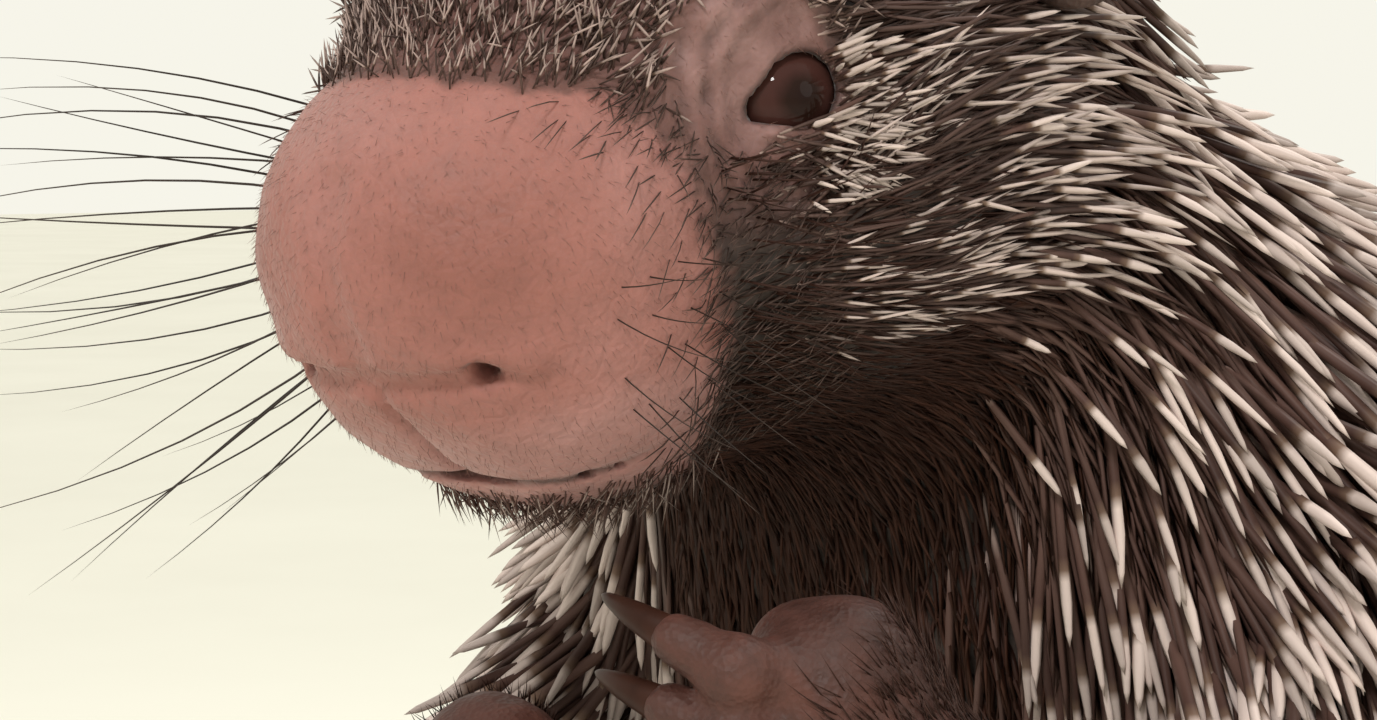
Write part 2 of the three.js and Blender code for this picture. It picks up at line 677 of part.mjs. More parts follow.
// Leans a quill so that its tip stands at the coat's height, then shortens it until it is clear.
// ahead is the distance from the root to where its own node ends.
function addQuill({ node, field, root, along, length, height, coreHeight, ahead = 40 }) {
  const out = slopeOf(field, root);
  const flat = along.clone().addScaledVector(out, -along.dot(out)).normalize();
  const tipAt = (lift, reach) =>
    root.clone().addScaledVector(flat, Math.cos(lift) * reach).addScaledVector(out, Math.sin(lift) * reach);
  const radius = QUILL.radius * Math.min(1, 0.55 + length / 90);
  let low = Math.max(QUILL.lift[0], Math.atan((radius + 2 * QUILL.clearance) / ahead));
  let high = QUILL.lift[1];
  for (let i = 0; i < 12; i++) {
    const lift = (low + high) / 2;
    if (field(tipAt(lift, length)) < height) low = lift;
    else high = lift;
  }
  if (roomAt(root, node) < QUILL.sunk) return;
  for (const share of QUILL.shortened) {
    const reach = length * share;
    const stretch = [root, tipAt(high, reach)];
    const spaced = quills.every((other) => {
      if (other.node === node && other.root.distanceTo(root) > 3.4 * radius) return true;
      return stretchDistance(stretch, other.stretch) > radius + other.radius + QUILL.clearance;
    });
    const stands = [0.2, 0.35, 0.5, 0.75, 1].every((part) => {
      const past = reach * part > ahead * 0.8 || limbFields[node];
      const room = roomAt(tipAt(high, reach * part), node, past ? coreHeight : undefined);
      return room > radius + QUILL.clearance;
    });
    if (!spaced || !stands) continue;
    quills.push({ node, root, stretch, radius, out });
    return;
  }
}

function quillSolid({ root, stretch, radius, out }) {
  const direction = stretch[1].clone().sub(root).normalize();
  const side = direction.clone().cross(out).normalize();
  const over = side.clone().cross(direction);
  const start = root.clone().addScaledVector(out, -QUILL.sunk);
  const ring = [0, 90, 180, 270].map((turn) =>
    start
      .clone()
      .addScaledVector(side, Math.cos(radians(turn)) * radius * 1.15)
      .addScaledVector(over, Math.sin(radians(turn)) * radius * 1.15),
  );
  return solidOf(closeRings([ring], start, stretch[1]));
}

// The quills of trunk, neck and head, in staggered rows round the axis, that lie back along it
const LAST_ROW = 7.9; // the station where the bare nose starts

function bodyQuills() {
  const nodeAt = (s) => Object.keys(PARTING).find((name) => s < PARTING[name]) ?? "head";
  const edges = [0, ...Object.values(PARTING)];
  let odd = false;
  for (let s = 0.1; s < LAST_ROW; ) {
    const spacing = sampled(QUILL.spacings, s);
    const pace = axisPoint(s + 0.1).distanceTo(axisPoint(s)) / 0.1;
    const girth = bodySurface(s, 0).distanceTo(axisPoint(s)) * 2 * Math.PI;
    const count = Math.round(girth / spacing);
    odd = !odd;
    for (let i = 0; i < count; i++) {
      const angle = ((i + (odd ? 0.5 : 0) + draw(-0.2, 0.2)) / count) * 2 * Math.PI;
      const place = s + (draw(-0.2, 0.2) * spacing) / pace;
      if (Math.sin(angle) < coatEdge(place)) continue;
      if (edges.some((edge) => edge && Math.abs(place - edge) * pace < QUILL.fromParting)) continue;
      const ahead = (place - Math.max(...edges.filter((edge) => edge < place))) * pace;
      const root = bodySurface(place, angle);
      const height = tipHeight(place, angle, root);
      if (height < 2.5) continue;
      addQuill({
        node: nodeAt(place),
        field: bodyField,
        root,
        along: axisNormal(place).negate().add(vec(draw(-0.12, 0.12), draw(-0.05, 0.12), draw(-0.12, 0.05))),
        length: sampled(QUILL.lengths, place) * draw(0.85, 1.1),
        height: height * draw(0.85, 1.05),
        coreHeight: height * CORE_SHARE,
        ahead: place < PARTING.rump ? undefined : ahead * 0.85,
      });
    }
    s += spacing / pace;
  }
}

// The quills on the outer face of a limb or the upper face of the tail's root
function limbQuills(node, { along, facing, from, to, length, spacing, height }) {
  const { path, radii } = limbs[node];
  const curve = new THREE.CatmullRomCurve3(path, false, "centripetal");
  const span = curve.getLength();
  for (let t = from; t < to; t += spacing / span) {
    const tangent = curve.getTangentAt(t);
    const radius = sampled(radii, t * (radii.length - 1));
    const count = Math.round((2 * Math.PI * radius) / spacing);
    const first = vec(0, 0, 1).cross(tangent).normalize();
    const second = tangent.clone().cross(first);
    for (let i = 0; i < count; i++) {
      const angle = ((i + draw(-0.25, 0.25)) / count) * 2 * Math.PI;
      const out = first.clone().multiplyScalar(Math.cos(angle)).addScaledVector(second, Math.sin(angle));
      if (out.dot(facing) < 0.25) continue;
      const root = curve.getPointAt(t).addScaledVector(out, radius * 0.98);
      if (bodyField(root) < 9) continue;
      addQuill({
        node,
        field: limbFields[node],
        root,
        along: along ?? tangent,
        length: mix(length[0], length[1], t) * draw(0.85, 1.1),
        height: height * draw(0.85, 1.05),
        coreHeight: TIP_HEIGHT.back * CORE_SHARE,
      });
    }
  }
}

bodyQuills();
for (const [name, side] of Object.entries(SIDES)) {
  const outward = vec(side * 0.9, 0.25, 0.3).normalize();
  limbQuills("thigh_" + name, {
    along: vec(side * 0.1, 0.55, -0.8), facing: outward, from: 0.1, to: 0.85,
    length: [36, 26], spacing: 15, height: TIP_HEIGHT.limb,
  });
  limbQuills("upper_arm_" + name, {
    facing: outward, from: 0.08, to: 0.85, length: [32, 22], spacing: 11.5, height: TIP_HEIGHT.limb * 0.75,
  });
}
limbQuills("tail_base", {
  facing: vec(0, 0.2, 1), from: 0.15, to: 0.9, length: [30, 16], spacing: 12, height: TIP_HEIGHT.tail,
});

const quilled = [...new Set(quills.map((quill) => quill.node))];
for (const node of quilled) {
  const own = quills.filter((quill) => quill.node === node).map(quillSolid);
  const whole = joined([solids[node], ...own]);
  const touches = (name) => name !== node && whole.intersect(solids[name]).volume() > 0;
  const touching = Object.keys(solids).filter(touches);
  solids[node] = largest(touching.reduce((left, name) => left.subtract(grown(solids[name], GAP)), whole));
}

const COLOURS = {
  eye: 0x1c0f0c,
  claw: 0x2a211c,
  muzzle: 0xb08078,
  paw: 0x7a5a50,
  foot: 0x6a4f46,
  coat: 0x4a3f38,
};

function materialOf(name) {
  const key = Object.keys(COLOURS).find((word) => name.includes(word)) ?? "coat";
  const roughness = key === "eye" ? 0.1 : 0.75;
  return new THREE.MeshStandardMaterial({ color: COLOURS[key], roughness, metalness: 0 });
}

const group = new THREE.Group();
group.position.y = -RUMP_AT;
for (const [name, solid] of Object.entries(solids)) {
  const mesh = new THREE.Mesh(geometryOf(solid), materialOf(name));
  mesh.name = name;
  group.add(mesh);
}
export default group;
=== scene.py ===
# A prehensile-tailed porcupine, life size, sitting with its forepaws together under the chin.
# Shapes are worked out in millimetres in the part's own frame before its seat is moved to the origin.
import math

import bpy
import numpy as np
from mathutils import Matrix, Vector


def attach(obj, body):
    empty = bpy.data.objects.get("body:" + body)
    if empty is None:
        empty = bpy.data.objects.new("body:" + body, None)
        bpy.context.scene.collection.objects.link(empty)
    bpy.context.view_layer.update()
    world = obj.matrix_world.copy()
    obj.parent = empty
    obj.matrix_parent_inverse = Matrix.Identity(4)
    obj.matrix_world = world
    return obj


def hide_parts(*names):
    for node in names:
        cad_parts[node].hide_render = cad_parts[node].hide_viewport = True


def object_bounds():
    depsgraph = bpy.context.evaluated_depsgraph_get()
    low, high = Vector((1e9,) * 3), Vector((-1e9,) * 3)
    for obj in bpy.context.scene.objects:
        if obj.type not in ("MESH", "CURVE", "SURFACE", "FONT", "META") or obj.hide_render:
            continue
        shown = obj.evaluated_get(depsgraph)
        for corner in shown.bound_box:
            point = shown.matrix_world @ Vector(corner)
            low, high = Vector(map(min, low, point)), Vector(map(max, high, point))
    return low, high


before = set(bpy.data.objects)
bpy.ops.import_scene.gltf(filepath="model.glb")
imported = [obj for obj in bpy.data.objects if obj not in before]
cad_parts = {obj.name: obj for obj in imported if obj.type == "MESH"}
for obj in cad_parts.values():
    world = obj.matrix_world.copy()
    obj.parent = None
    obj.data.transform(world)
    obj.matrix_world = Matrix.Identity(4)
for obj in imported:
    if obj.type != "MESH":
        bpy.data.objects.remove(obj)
cad_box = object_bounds()

MM = 0.001
SEAT_Y = 60.0  # how far behind the shapes' zero line the seat's middle lies
THIN = 1.0
random = np.random.default_rng(11)

# Driving sizes, as in the solids
EYE_LINE = np.array([0.0, -78.0, 285.0])
HEAD_PITCH = 15.0
EYE = {"x": 21.5, "radius": 6.6, "socket": 9.0, "opening": 4.9}
NOSE = {"forward": 22.0, "up": -8.6, "radii": (22.6, 20.2, 18.8)}
MOUTH_UP = -31.0
TIP_HEIGHT = {"back": 20.0, "neck": 11.0, "crown": 7.0, "limb": 12.0}
SOFT_COAT = 2.5
QUILL_LENGTHS = (44, 50, 52, 48, 40, 30, 19, 12, 8, 6)  # at each station of the body's axis
ARM_UPPER = ((44, 4, 222), (58, -6, 192), (63, -16, 164))
FORE_ELBOW, FORE_BEND, WRIST = (63, -18, 165), (58, -44, 184), (9, 12, -13)
PALM = {1: (34, -82, 226), -1: (14, -82, 211)}
PALM_RADII = (8, 9.5, 11.5)
FINGER = {"spread": 5.8, "length": 6.5, "radius": 3.0}
THIGH = ((46, 66, 72), (68, 24, 92), (80, -26, 90))
SHANK = ((80, -30, 76), (79, 4, 48), (73, 32, 20))
FOOT_HEEL, FOOT_ARCH, FOOT_BALL, FOOT_RADII = (72, 34, 11), (79, -4, 11), (84, -42, 9), (11, 13, 14)
TOE = {"spread": 8.5, "length": 20.0, "radius": 4.4}
FORE_CLAW = {"radii": (2.0, 1.4), "length": 11.0, "curl": 0.5}
HIND_CLAW = {"radii": (2.3, 1.7), "length": 14.0, "curl": 0.06}
GAP = 0.3
SIDES = {"left": 1, "right": -1}
TAIL_PATH = (
    (0, 92, 44), (0, 112, 38), (2, 150, 27), (8, 200, 19), (34, 246, 15), (84, 262, 12.5),
    (130, 238, 10.8), (148, 196, 9.4), (132, 158, 8), (98, 152, 6.8), (80, 174, 5.6),
)
TAIL_RADII = (30, 29, 24, 18, 16, 13.5, 11.8, 10.2, 8.8, 7.4, 6)

COS_PITCH, SIN_PITCH = math.cos(math.radians(HEAD_PITCH)), math.sin(math.radians(HEAD_PITCH))
FORWARD = np.array([0.0, -COS_PITCH, -SIN_PITCH])
UP = np.array([0.0, -SIN_PITCH, COS_PITCH])


def unit(v):
    v = np.asarray(v, float)
    return v / (np.linalg.norm(v, axis=-1, keepdims=True) + 1e-12)


def ease(x, low, high):
    t = np.clip((x - low) / (high - low), 0, 1)
    return t * t * (3 - 2 * t)


def mix(a, b, t):
    return a + (b - a) * t


def circle(count):
    """The cosines and sines of so many angles round a circle."""
    turn = np.arange(count) / count * 2 * math.pi
    return np.cos(turn)[:, None], np.sin(turn)[:, None]


def flattened(along, outs):
    """The directions along, laid flat on a skin with these normals."""
    return unit(along - outs * np.sum(along * outs, 1, keepdims=True))


def raised(flat, outs, lift):
    """Directions that lie flat on the skin, raised off it by the angles lift."""
    return flat * np.cos(lift)[:, None] + outs * np.sin(lift)[:, None]


def head_point(x, forward, up):
    p = EYE_LINE + forward * FORWARD + up * UP
    return np.array([x, p[1], p[2]])


EYE_MIDDLE = head_point(EYE["x"], 0, 0)


def gaze(side):
    direction = 0.44 * FORWARD + 0.08 * UP
    direction[0] = 0.9 * side
    return unit(direction)


def mirrored(points, side):
    return [np.array([side * p[0], p[1], p[2]], float) for p in points]


# Distance fields of the flesh, negative inside
def ellipsoid(centre, radii, pitch=0.0):
    c, s = math.cos(math.radians(pitch)), math.sin(math.radians(pitch))
    a, b, h = radii

    def field(x, y, z):
        qx, y1, z1 = x - centre[0], y - centre[1], z - centre[2]
        qy, qz = y1 * c + z1 * s, z1 * c - y1 * s
        near = np.sqrt((qx / a) ** 2 + (qy / b) ** 2 + (qz / h) ** 2)
        slope = np.sqrt((qx / a**2) ** 2 + (qy / b**2) ** 2 + (qz / h**2) ** 2) + 1e-9
        return near * (near - 1) / slope

    return field


def capsule(a, b, ra, rb):
    a, b = np.asarray(a, float), np.asarray(b, float)
    span = b - a
    across = span @ span

    def field(x, y, z):
        px, py, pz = x - a[0], y - a[1], z - a[2]
        t = np.clip((px * span[0] + py * span[1] + pz * span[2]) / across, 0, 1)
        apart = (px - span[0] * t) ** 2 + (py - span[1] * t) ** 2 + (pz - span[2] * t) ** 2
        return np.sqrt(apart) - (ra + (rb - ra) * t)

    return field


def knob(centre, radius, end_radius=None):
    return capsule(centre, centre + (0, 0, 0.1), radius, end_radius or radius)


def smooth_min(a, b, width):
    h = np.maximum(width - np.abs(a - b), 0) / width
    return np.minimum(a, b) - h * h * width / 4


def smooth_max(a, b, width):
    return -smooth_min(-a, -b, width)


def blend(width, fields):
    def field(x, y, z):
        total = fields[0](x, y, z)
        for other in fields[1:]:
            total = smooth_min(total, other(x, y, z), width)
        return total

    return field


def chain(points, radii, width=4.0):
    links = zip(points[:-1], points[1:], radii[:-1], radii[1:])
    return blend(width, [capsule(*link) for link in links])


# Balls of the trunk as middle and radii; balls of the head as side, forward and up of the middle, and radii
TRUNK_BALLS = (
    ((0, 62, 64), (73, 63, 70)), ((0, 53, 122), (69, 60, 66)), ((0, 36, 178), (57, 53, 56)),
    ((0, 10, 222), (47, 46, 43)), ((0, -16, 258), (33, 35, 33)),
)
HEAD_BALLS = (
    ((0, -24, 3), (30, 42, 26)), ((17, -14, -14), (17, 27, 20)), ((0, 10, -7), (21, 28, 20)),
    ((0, NOSE["forward"], NOSE["up"]), NOSE["radii"]), ((7.5, 20.5, -22), (12, 12.5, 9.5)),
    ((0, 2, -30), (14.5, 24, 9.5)), ((0, -2, 10), (21, 22, 17)), ((15, -3, 9), (11, 15, 9)),
    ((0, -32, -22), (26, 30, 20)),
)
trunk_field = blend(34, [ellipsoid(*ball) for ball in TRUNK_BALLS])
head_flesh = blend(9, [ellipsoid(head_point(*middle), radii, HEAD_PITCH) for middle, radii in HEAD_BALLS])
EYE_RISE = math.sqrt(EYE["radius"] ** 2 - EYE["opening"] ** 2)
SOCKET = EYE_MIDDLE + gaze(1) * (EYE_RISE + EYE["socket"])


def head_field(x, y, z):
    x = np.abs(x)
    cut = EYE["socket"] - np.sqrt((x - SOCKET[0]) ** 2 + (y - SOCKET[1]) ** 2 + (z - SOCKET[2]) ** 2)
    return smooth_max(head_flesh(x, y, z), cut, 4)


def body_field(x, y, z):
    return smooth_min(trunk_field(x, y, z), head_field(x, y, z), 16)


# Each limb: its path, and the radii of its flesh under the fur
LIMBS = {}
for side_name, side in SIDES.items():
    wrist = tuple(PALM[side][i] + WRIST[i] for i in range(3))
    LIMBS["upper_arm_" + side_name] = (mirrored(ARM_UPPER, side), (23, 19, 13))
    LIMBS["forearm_" + side_name] = (mirrored((FORE_ELBOW, FORE_BEND, wrist), side), (13.5, 12, 7.5))
    LIMBS["thigh_" + side_name] = (mirrored(THIGH, side), (45, 39, 22))
    LIMBS["shank_" + side_name] = (mirrored(SHANK, side), (18, 19, 11))
limb_fields = {name: chain(path, radii) for name, (path, radii) in LIMBS.items()}


def whole_field(x, y, z):
    total = body_field(x, y, z)
    for name, field in limb_fields.items():
        total = smooth_min(total, field(x, y, z), 12 if "arm" in name else 16)
    return smooth_max(total, 0.4 - z, 3)


def frame_round(facing):
    """An eye's own frame: its facing, with forward and up across it."""
    forward = unit(FORWARD - facing * (FORWARD @ facing))
    return facing, forward, unit(np.cross(forward, facing))


EYE_FRAME = frame_round(gaze(1))
LID_RISE = 0.15  # the lids open round a middle a little above the gaze
LID_FRAME = frame_round(unit(EYE_FRAME[0] + LID_RISE * EYE_FRAME[2]))
NOSTRIL = head_point(12.3, 37.6, -16.8)


def lip_line(x):
    """The height of the line between the lips, in the head's frame."""
    return MOUTH_UP + 0.004 * x**2 + 0.35 * np.sin(x * 0.35)


def lid_radius(angle):
    """The distance of the lids' rim from the opening's middle: round behind, pointed at the front corner."""
    turned = angle + 0.06
    along, high = np.cos(turned), np.sin(turned)
    power = mix(2.3, 1.25, ease(along, -0.1, 0.8))
    reach = mix(5.0, 6.9, ease(along, -0.5, 0.5))
    return ((np.abs(along) / reach) ** power + (np.abs(high) / 4.5) ** power) ** (-1 / power)


def eye_folds(round_axis, angle):
    """How high the loose skin round the eye stands in its ring folds and the finer folds across them."""
    wavy = round_axis * 2.3 + 0.9 * np.sin(angle * 3 + 1) + 0.5 * np.sin(angle * 7)
    rings = np.sin(wavy) * ease(round_axis, 7, 8.5) * (1 - ease(round_axis, 12, 19))
    across = np.sin(angle * 11 + round_axis * 0.8)
    across = across * ease(round_axis, 7.5, 10) * (1 - ease(round_axis, 12, 18))
    return 0.36 * rings + 0.2 * across


def lid_detail(x, y, z, field):
    """Lids with a thick rim, a fold above them and loose skin round them, clear of the eyeball."""
    p = [value - middle for value, middle in zip((x, y, z), EYE_MIDDLE)]
    out, along, high = (p[0] * way[0] + p[1] * way[1] + p[2] * way[2] for way in LID_FRAME)
    round_axis = np.hypot(along, high)
    angle = np.arctan2(high, along)
    rim = lid_radius(angle)
    rim_out = np.sqrt(np.maximum(7.4**2 - rim**2, 1))
    thick = 1.1 + 0.3 * np.maximum(np.sin(angle), 0)
    field = smooth_min(field, np.hypot(round_axis - rim, out - rim_out) - thick, 1.3)
    above = np.hypot(round_axis - rim - 2.9 - 0.5 * np.sin(angle), out - rim_out + 0.8) - 0.95
    field = smooth_min(field, above, 1.2)
    field = field - eye_folds(round_axis, angle) * (out > 0)
    apart = np.sqrt(p[0] ** 2 + p[1] ** 2 + p[2] ** 2)
    return smooth_max(field, EYE["radius"] + 0.12 - apart, 0.5)


def face_detail(x, y, z, field):
    """The head's fine forms, carved into or raised on the field near the face."""
    x = np.abs(x)
    skin = lid_detail(x, y, z, field)
    hy, hz = y - EYE_LINE[1], z - EYE_LINE[2]
    fore, rise = (hy * way[1] + hz * way[2] for way in (FORWARD, UP))
    nostril = blend(0.8, [
        capsule(NOSTRIL, head_point(10.4, 31, -15.5), 1.5, 1.1),
        capsule(NOSTRIL, head_point(17.0, 33.3, -18.4), 1.05, 0.3),
    ])(x, y, z)
    wing = capsule(head_point(10, 38.0, -14.4), head_point(16.5, 34, -15.4), 1.5, 0.9)(x, y, z)
    fold = capsule(head_point(0, 40.6, -17.4), head_point(11.5, 37.9, -17.2), 0.75, 0.6)(x, y, z)
    line = lip_line(x)
    mouth = np.maximum(np.abs(rise - line) - 0.3, -skin - 2.2 * ease(fore, 18, 25))
    cleft = np.maximum(np.maximum(x - 0.25, -skin - 0.7), np.maximum(rise + 19, line - rise))
    groove = np.maximum(np.maximum(x - 0.8, -skin - 0.2), np.maximum(30 - fore, np.abs(rise + 8) - 10))
    field = smooth_min(skin, wing + 0.2, 2.4)
    cuts = ((fold, 2.0), (nostril, 0.9), (mouth, 0.8), (np.maximum(cleft, 27 - fore), 1.2), (groove, 2.2))
    for cut, width in cuts:
        field = smooth_max(field, -cut, width)
    lumps = np.sin(x * 0.42 + 1.1) * np.sin(y * 0.37) * np.sin(z * 0.46 + 0.7)
    lumps = lumps + 0.5 * np.sin(x * 0.9) * np.sin(y * 0.8 + 2) * np.sin(z * 0.95)
    return field + 0.22 * lumps * ease(fore, 2, 14)


def near_face(x, y, z):
    return np.abs(x) < 44, y < -44, z > 226


def detailed_field(x, y, z):
    total = whole_field(x, y, z)
    side, front, high = near_face(x, y, z)
    close = side & front & high
    if np.any(close):
        total = np.where(close, face_detail(x, y, z, total), total)
    return total


# A surface of quads where a field on a rectilinear grid crosses zero
CORNERS = [(i, j, k) for i in (0, 1) for j in (0, 1) for k in (0, 1)]


def surface_nets(values, axes):
    inside = values < 0
    nx, ny, nz = values.shape
    count = sum(inside[i : nx - 1 + i, j : ny - 1 + j, k : nz - 1 + k].astype(np.int8) for i, j, k in CORNERS)
    cells = np.argwhere((count > 0) & (count < 8))
    index = np.full((nx - 1, ny - 1, nz - 1), -1, np.int64)
    index[tuple(cells.T)] = np.arange(len(cells))
    total, hits = np.zeros((len(cells), 3)), np.zeros(len(cells))
    for corner in CORNERS:
        for axis in range(3):
            if corner[axis]:
                continue
            other = list(corner)
            other[axis] = 1
            first, second = cells + corner, cells + other
            a, b = values[tuple(first.T)], values[tuple(second.T)]
            cross = (a < 0) != (b < 0)
            t = np.where(cross, a / np.where(cross, a - b, 1), 0)[:, None]
            pa, pb = (np.stack([axes[d][end[:, d]] for d in range(3)], 1) for end in (first, second))
            total += np.where(cross[:, None], pa + (pb - pa) * t, 0)
            hits += cross
    quads = []
    for axis, (u, v) in enumerate(((1, 2), (2, 0), (0, 1))):
        low, high = [slice(None)] * 3, [slice(None)] * 3
        low[axis], high[axis] = slice(0, -1), slice(1, None)
        edges = np.argwhere(inside[tuple(low)] != inside[tuple(high)])
        within = (edges[:, u] > 0) & (edges[:, v] > 0)
        within &= (edges[:, u] < values.shape[u] - 1) & (edges[:, v] < values.shape[v] - 1)
        edges = edges[within]
        starts_in = inside[tuple(edges.T)]
        around = []
        for du, dv in ((-1, -1), (0, -1), (0, 0), (-1, 0)):
            cell = edges.copy()
            cell[:, u] += du
            cell[:, v] += dv
            around.append(index[tuple(cell.T)])
        quad = np.stack(around, 1)
        quad[~starts_in] = quad[~starts_in][:, ::-1]
        quads.append(quad)
    return total / hits[:, None], np.concatenate(quads)


def stepped(low, fine_low, fine_high, high, fine, coarse):
    """Grid lines that are fine between two places and widen smoothly to coarse beyond them."""
    def outward(start, end):
        lines, step, at = [], fine, start
        while at < end:
            step = min(step * 1.12, coarse)
            at += step
            lines.append(at)
        return np.array(lines)

    middle = np.arange(fine_low, fine_high + fine / 2, fine)
    return np.concatenate([-outward(-middle[0], -low)[::-1], middle, outward(middle[-1], high)])


def on_grid(field, axes):
    return field(*np.meshgrid(*[a.astype(np.float32) for a in axes], indexing="ij", sparse=True))


def slope_of(field, p, step=0.4):
    grad = np.zeros_like(p)
    for axis, d in enumerate(np.eye(3) * step):
        grad[:, axis] = field(*(p + d).T) - field(*(p - d).T)
    return unit(grad)


# Meshes
def to_metres(points):
    return (np.asarray(points, float) - (0, SEAT_Y, 0)) * MM


def new_mesh(name, points, corners, sizes, uv=None, **attributes):
    """A smooth mesh from points, its faces' corners in one row, and the number of corners of each face."""
    mesh = bpy.data.meshes.new(name)
    mesh.vertices.add(len(points))
    mesh.vertices.foreach_set("co", to_metres(points).astype(np.float32).ravel())
    mesh.loops.add(len(corners))
    mesh.loops.foreach_set("vertex_index", np.asarray(corners, np.int32))
    mesh.polygons.add(len(sizes))
    mesh.polygons.foreach_set("loop_start", np.append(0, np.cumsum(sizes)[:-1]).astype(np.int32))
    mesh.polygons.foreach_set("use_smooth", np.ones(len(sizes), bool))
    mesh.update(calc_edges=True)
    if uv is not None:
        mesh.uv_layers.new(name="OFBake").data.foreach_set("uv", uv.astype(np.float32).ravel())
    for key, values in attributes.items():
        mesh.attributes.new(key, "FLOAT", "POINT").data.foreach_set("value", values.astype(np.float32))
    return mesh


def add_piece(mesh, material, replaced=()):
    """Puts the mesh into the scene, fixed to the part; replaced names the solids that it stands for."""
    piece = bpy.data.objects.new(mesh.name, mesh)
    bpy.context.scene.collection.objects.link(piece)
    piece.data.materials.append(material)
    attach(piece, "root")
    if replaced:
        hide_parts(*replaced)


def quad_mesh(name, points, quads, **attributes):
    return new_mesh(name, points, quads.ravel(), np.full(len(quads), 4), **attributes)


def tube(name, rings, start, end, **attributes):
    """A closed mesh from rings of points and the point that closes each end."""
    count, sides, _ = rings.shape
    j = np.arange(sides)
    following = (j + 1) % sides
    here = np.arange(count - 1)[:, None] * sides
    quads = np.stack([here + following, here + j, here + sides + j, here + sides + following], 2)
    first, last = 0 * j + count * sides, (count - 1) * sides
    caps = np.stack([first, j, following, first + 1, last + following, last + j], 1)
    points = np.concatenate([rings.reshape(-1, 3), [start], [end]])
    sizes = np.repeat([4, 3], [(count - 1) * sides, 2 * sides])
    return new_mesh(name, points, np.append(quads.ravel(), caps.ravel()), sizes, **attributes)


def sweep(name, path, radii, sides, squash=1.0):
    """A closed tube along the points; squash is its breadth over its height."""
    path = np.asarray(path, float)
    run = unit(np.gradient(path, axis=0))
    side = unit(np.cross(run, (0, 0, 1)))
    cosines, sines = circle(sides)
    ring = squash * cosines * side[:, None] + sines * np.cross(side, run)[:, None]
    along = np.append(np.repeat(np.linspace(0, 1, len(path)), sides), [0, 1])
    end = path[-1] + run[-1] * radii[-1] * 0.5
    return tube(name, path[:, None] + ring * radii[:, None, None], path[0], end, along=along)


# The axis of trunk, neck and head as points and their lean, and where a point lies along and round it
STATIONS = (
    ((0, 60, 46), 0), ((0, 62, 95), 0), ((0, 54, 150), 8), ((0, 36, 200), 18), ((0, 10, 240), 34),
    ((0, -20, 269), 58), (head_point(0, -27, -2), 88), (head_point(0, -6, -5), 105),
    (head_point(0, 8, -8), 105), (head_point(0, 17, -9), 105),
)
LAST_STATION = len(STATIONS) - 1


def curve_through(points, t):
    """Catmull-Rom through the points, at places t from 0 to the last point's number."""
    points = np.asarray(points, float)
    padded = np.concatenate([[2 * points[0] - points[1]], points, [2 * points[-1] - points[-2]]])
    i = np.clip(np.floor(t).astype(int), 0, len(points) - 2)
    f = (t - i)[:, None]
    a, b, c, d = padded[i], padded[i + 1], padded[i + 2], padded[i + 3]
    return 0.5 * (2 * b + (c - a) * f + (2 * a - 5 * b + 4 * c - d) * f**2 + (3 * b - a - 3 * c + d) * f**3)


def at_places(t, places, values):
    """Rows of values, given at these places, read between them at t."""
    return np.stack([np.interp(t, places, column) for column in values.T], 1)


AXIS_S = np.linspace(0, LAST_STATION, 127)
AXIS_POINTS = curve_through([station[0] for station in STATIONS], AXIS_S)
AXIS_LEAN = np.radians(np.interp(AXIS_S, range(len(STATIONS)), [station[1] for station in STATIONS]))
AXIS_ALONG = np.stack([0 * AXIS_S, -np.sin(AXIS_LEAN), np.cos(AXIS_LEAN)], 1)
AXIS_BACK = np.stack([0 * AXIS_S, np.cos(AXIS_LEAN), np.sin(AXIS_LEAN)], 1)
BATCH = 20000  # points that are looked at together


def on_axis(points):
    """The place s along the axis and the angle round it, 0 on the left and a quarter turn at the back."""
    s, angle = np.zeros(len(points)), np.zeros(len(points))
    for start in range(0, len(points), BATCH):
        batch = slice(start, start + BATCH)
        p = points[batch]
        height = p @ AXIS_ALONG.T - np.sum(AXIS_POINTS * AXIS_ALONG, 1)
        apart = np.linalg.norm(p[:, None, :] - AXIS_POINTS[None], axis=2)
        crosses = (height[:, :-1] >= 0) & (height[:, 1:] < 0)
        cost = np.where(crosses, apart[:, :-1], 1e6)
        k = np.argmin(cost, 1)
        row = np.arange(len(p))
        a, b = height[row, k], height[row, k + 1]
        part = AXIS_S[k] + (AXIS_S[1] - AXIS_S[0]) * a / (a - b + 1e-9)
        missed, under = cost[row, k] > 1e5, height[:, 0] < 0
        beyond = np.where(under, height[:, 0] / 50, LAST_STATION + height[:, -1] / 25)
        s[batch] = np.where(missed, beyond, part)
        k = np.where(missed, np.where(under, 0, len(AXIS_S) - 1), k)
        q = p - AXIS_POINTS[k]
        angle[batch] = np.arctan2(np.sum(q * AXIS_BACK[k], 1), q[:, 0])
    return s, angle


def from_eye(points):
    """The way to each point from the middle of the eye on its own side, as if on the left."""
    return np.abs(points * (1, 0, 0)) + points * (0, 1, 1) - EYE_MIDDLE


def head_place(points):
    q = points - EYE_LINE
    return q @ FORWARD, q @ UP


# The line of the fur on the muzzle: how far forward it lies at each height in the head's frame
HAIRLINE_RISE = (-33, -27.5, -21.7, -16, -10.9, -5.8, -1.8, 2.6, 5.5, 7, 8, 9.3, 10.3, 11.5)
HAIRLINE_FORE = (11.2, 11.7, 13.1, 15.1, 15.5, 16.2, 16.8, 18.8, 20.9, 24.6, 27.8, 29.6, 31.0, 36.0)


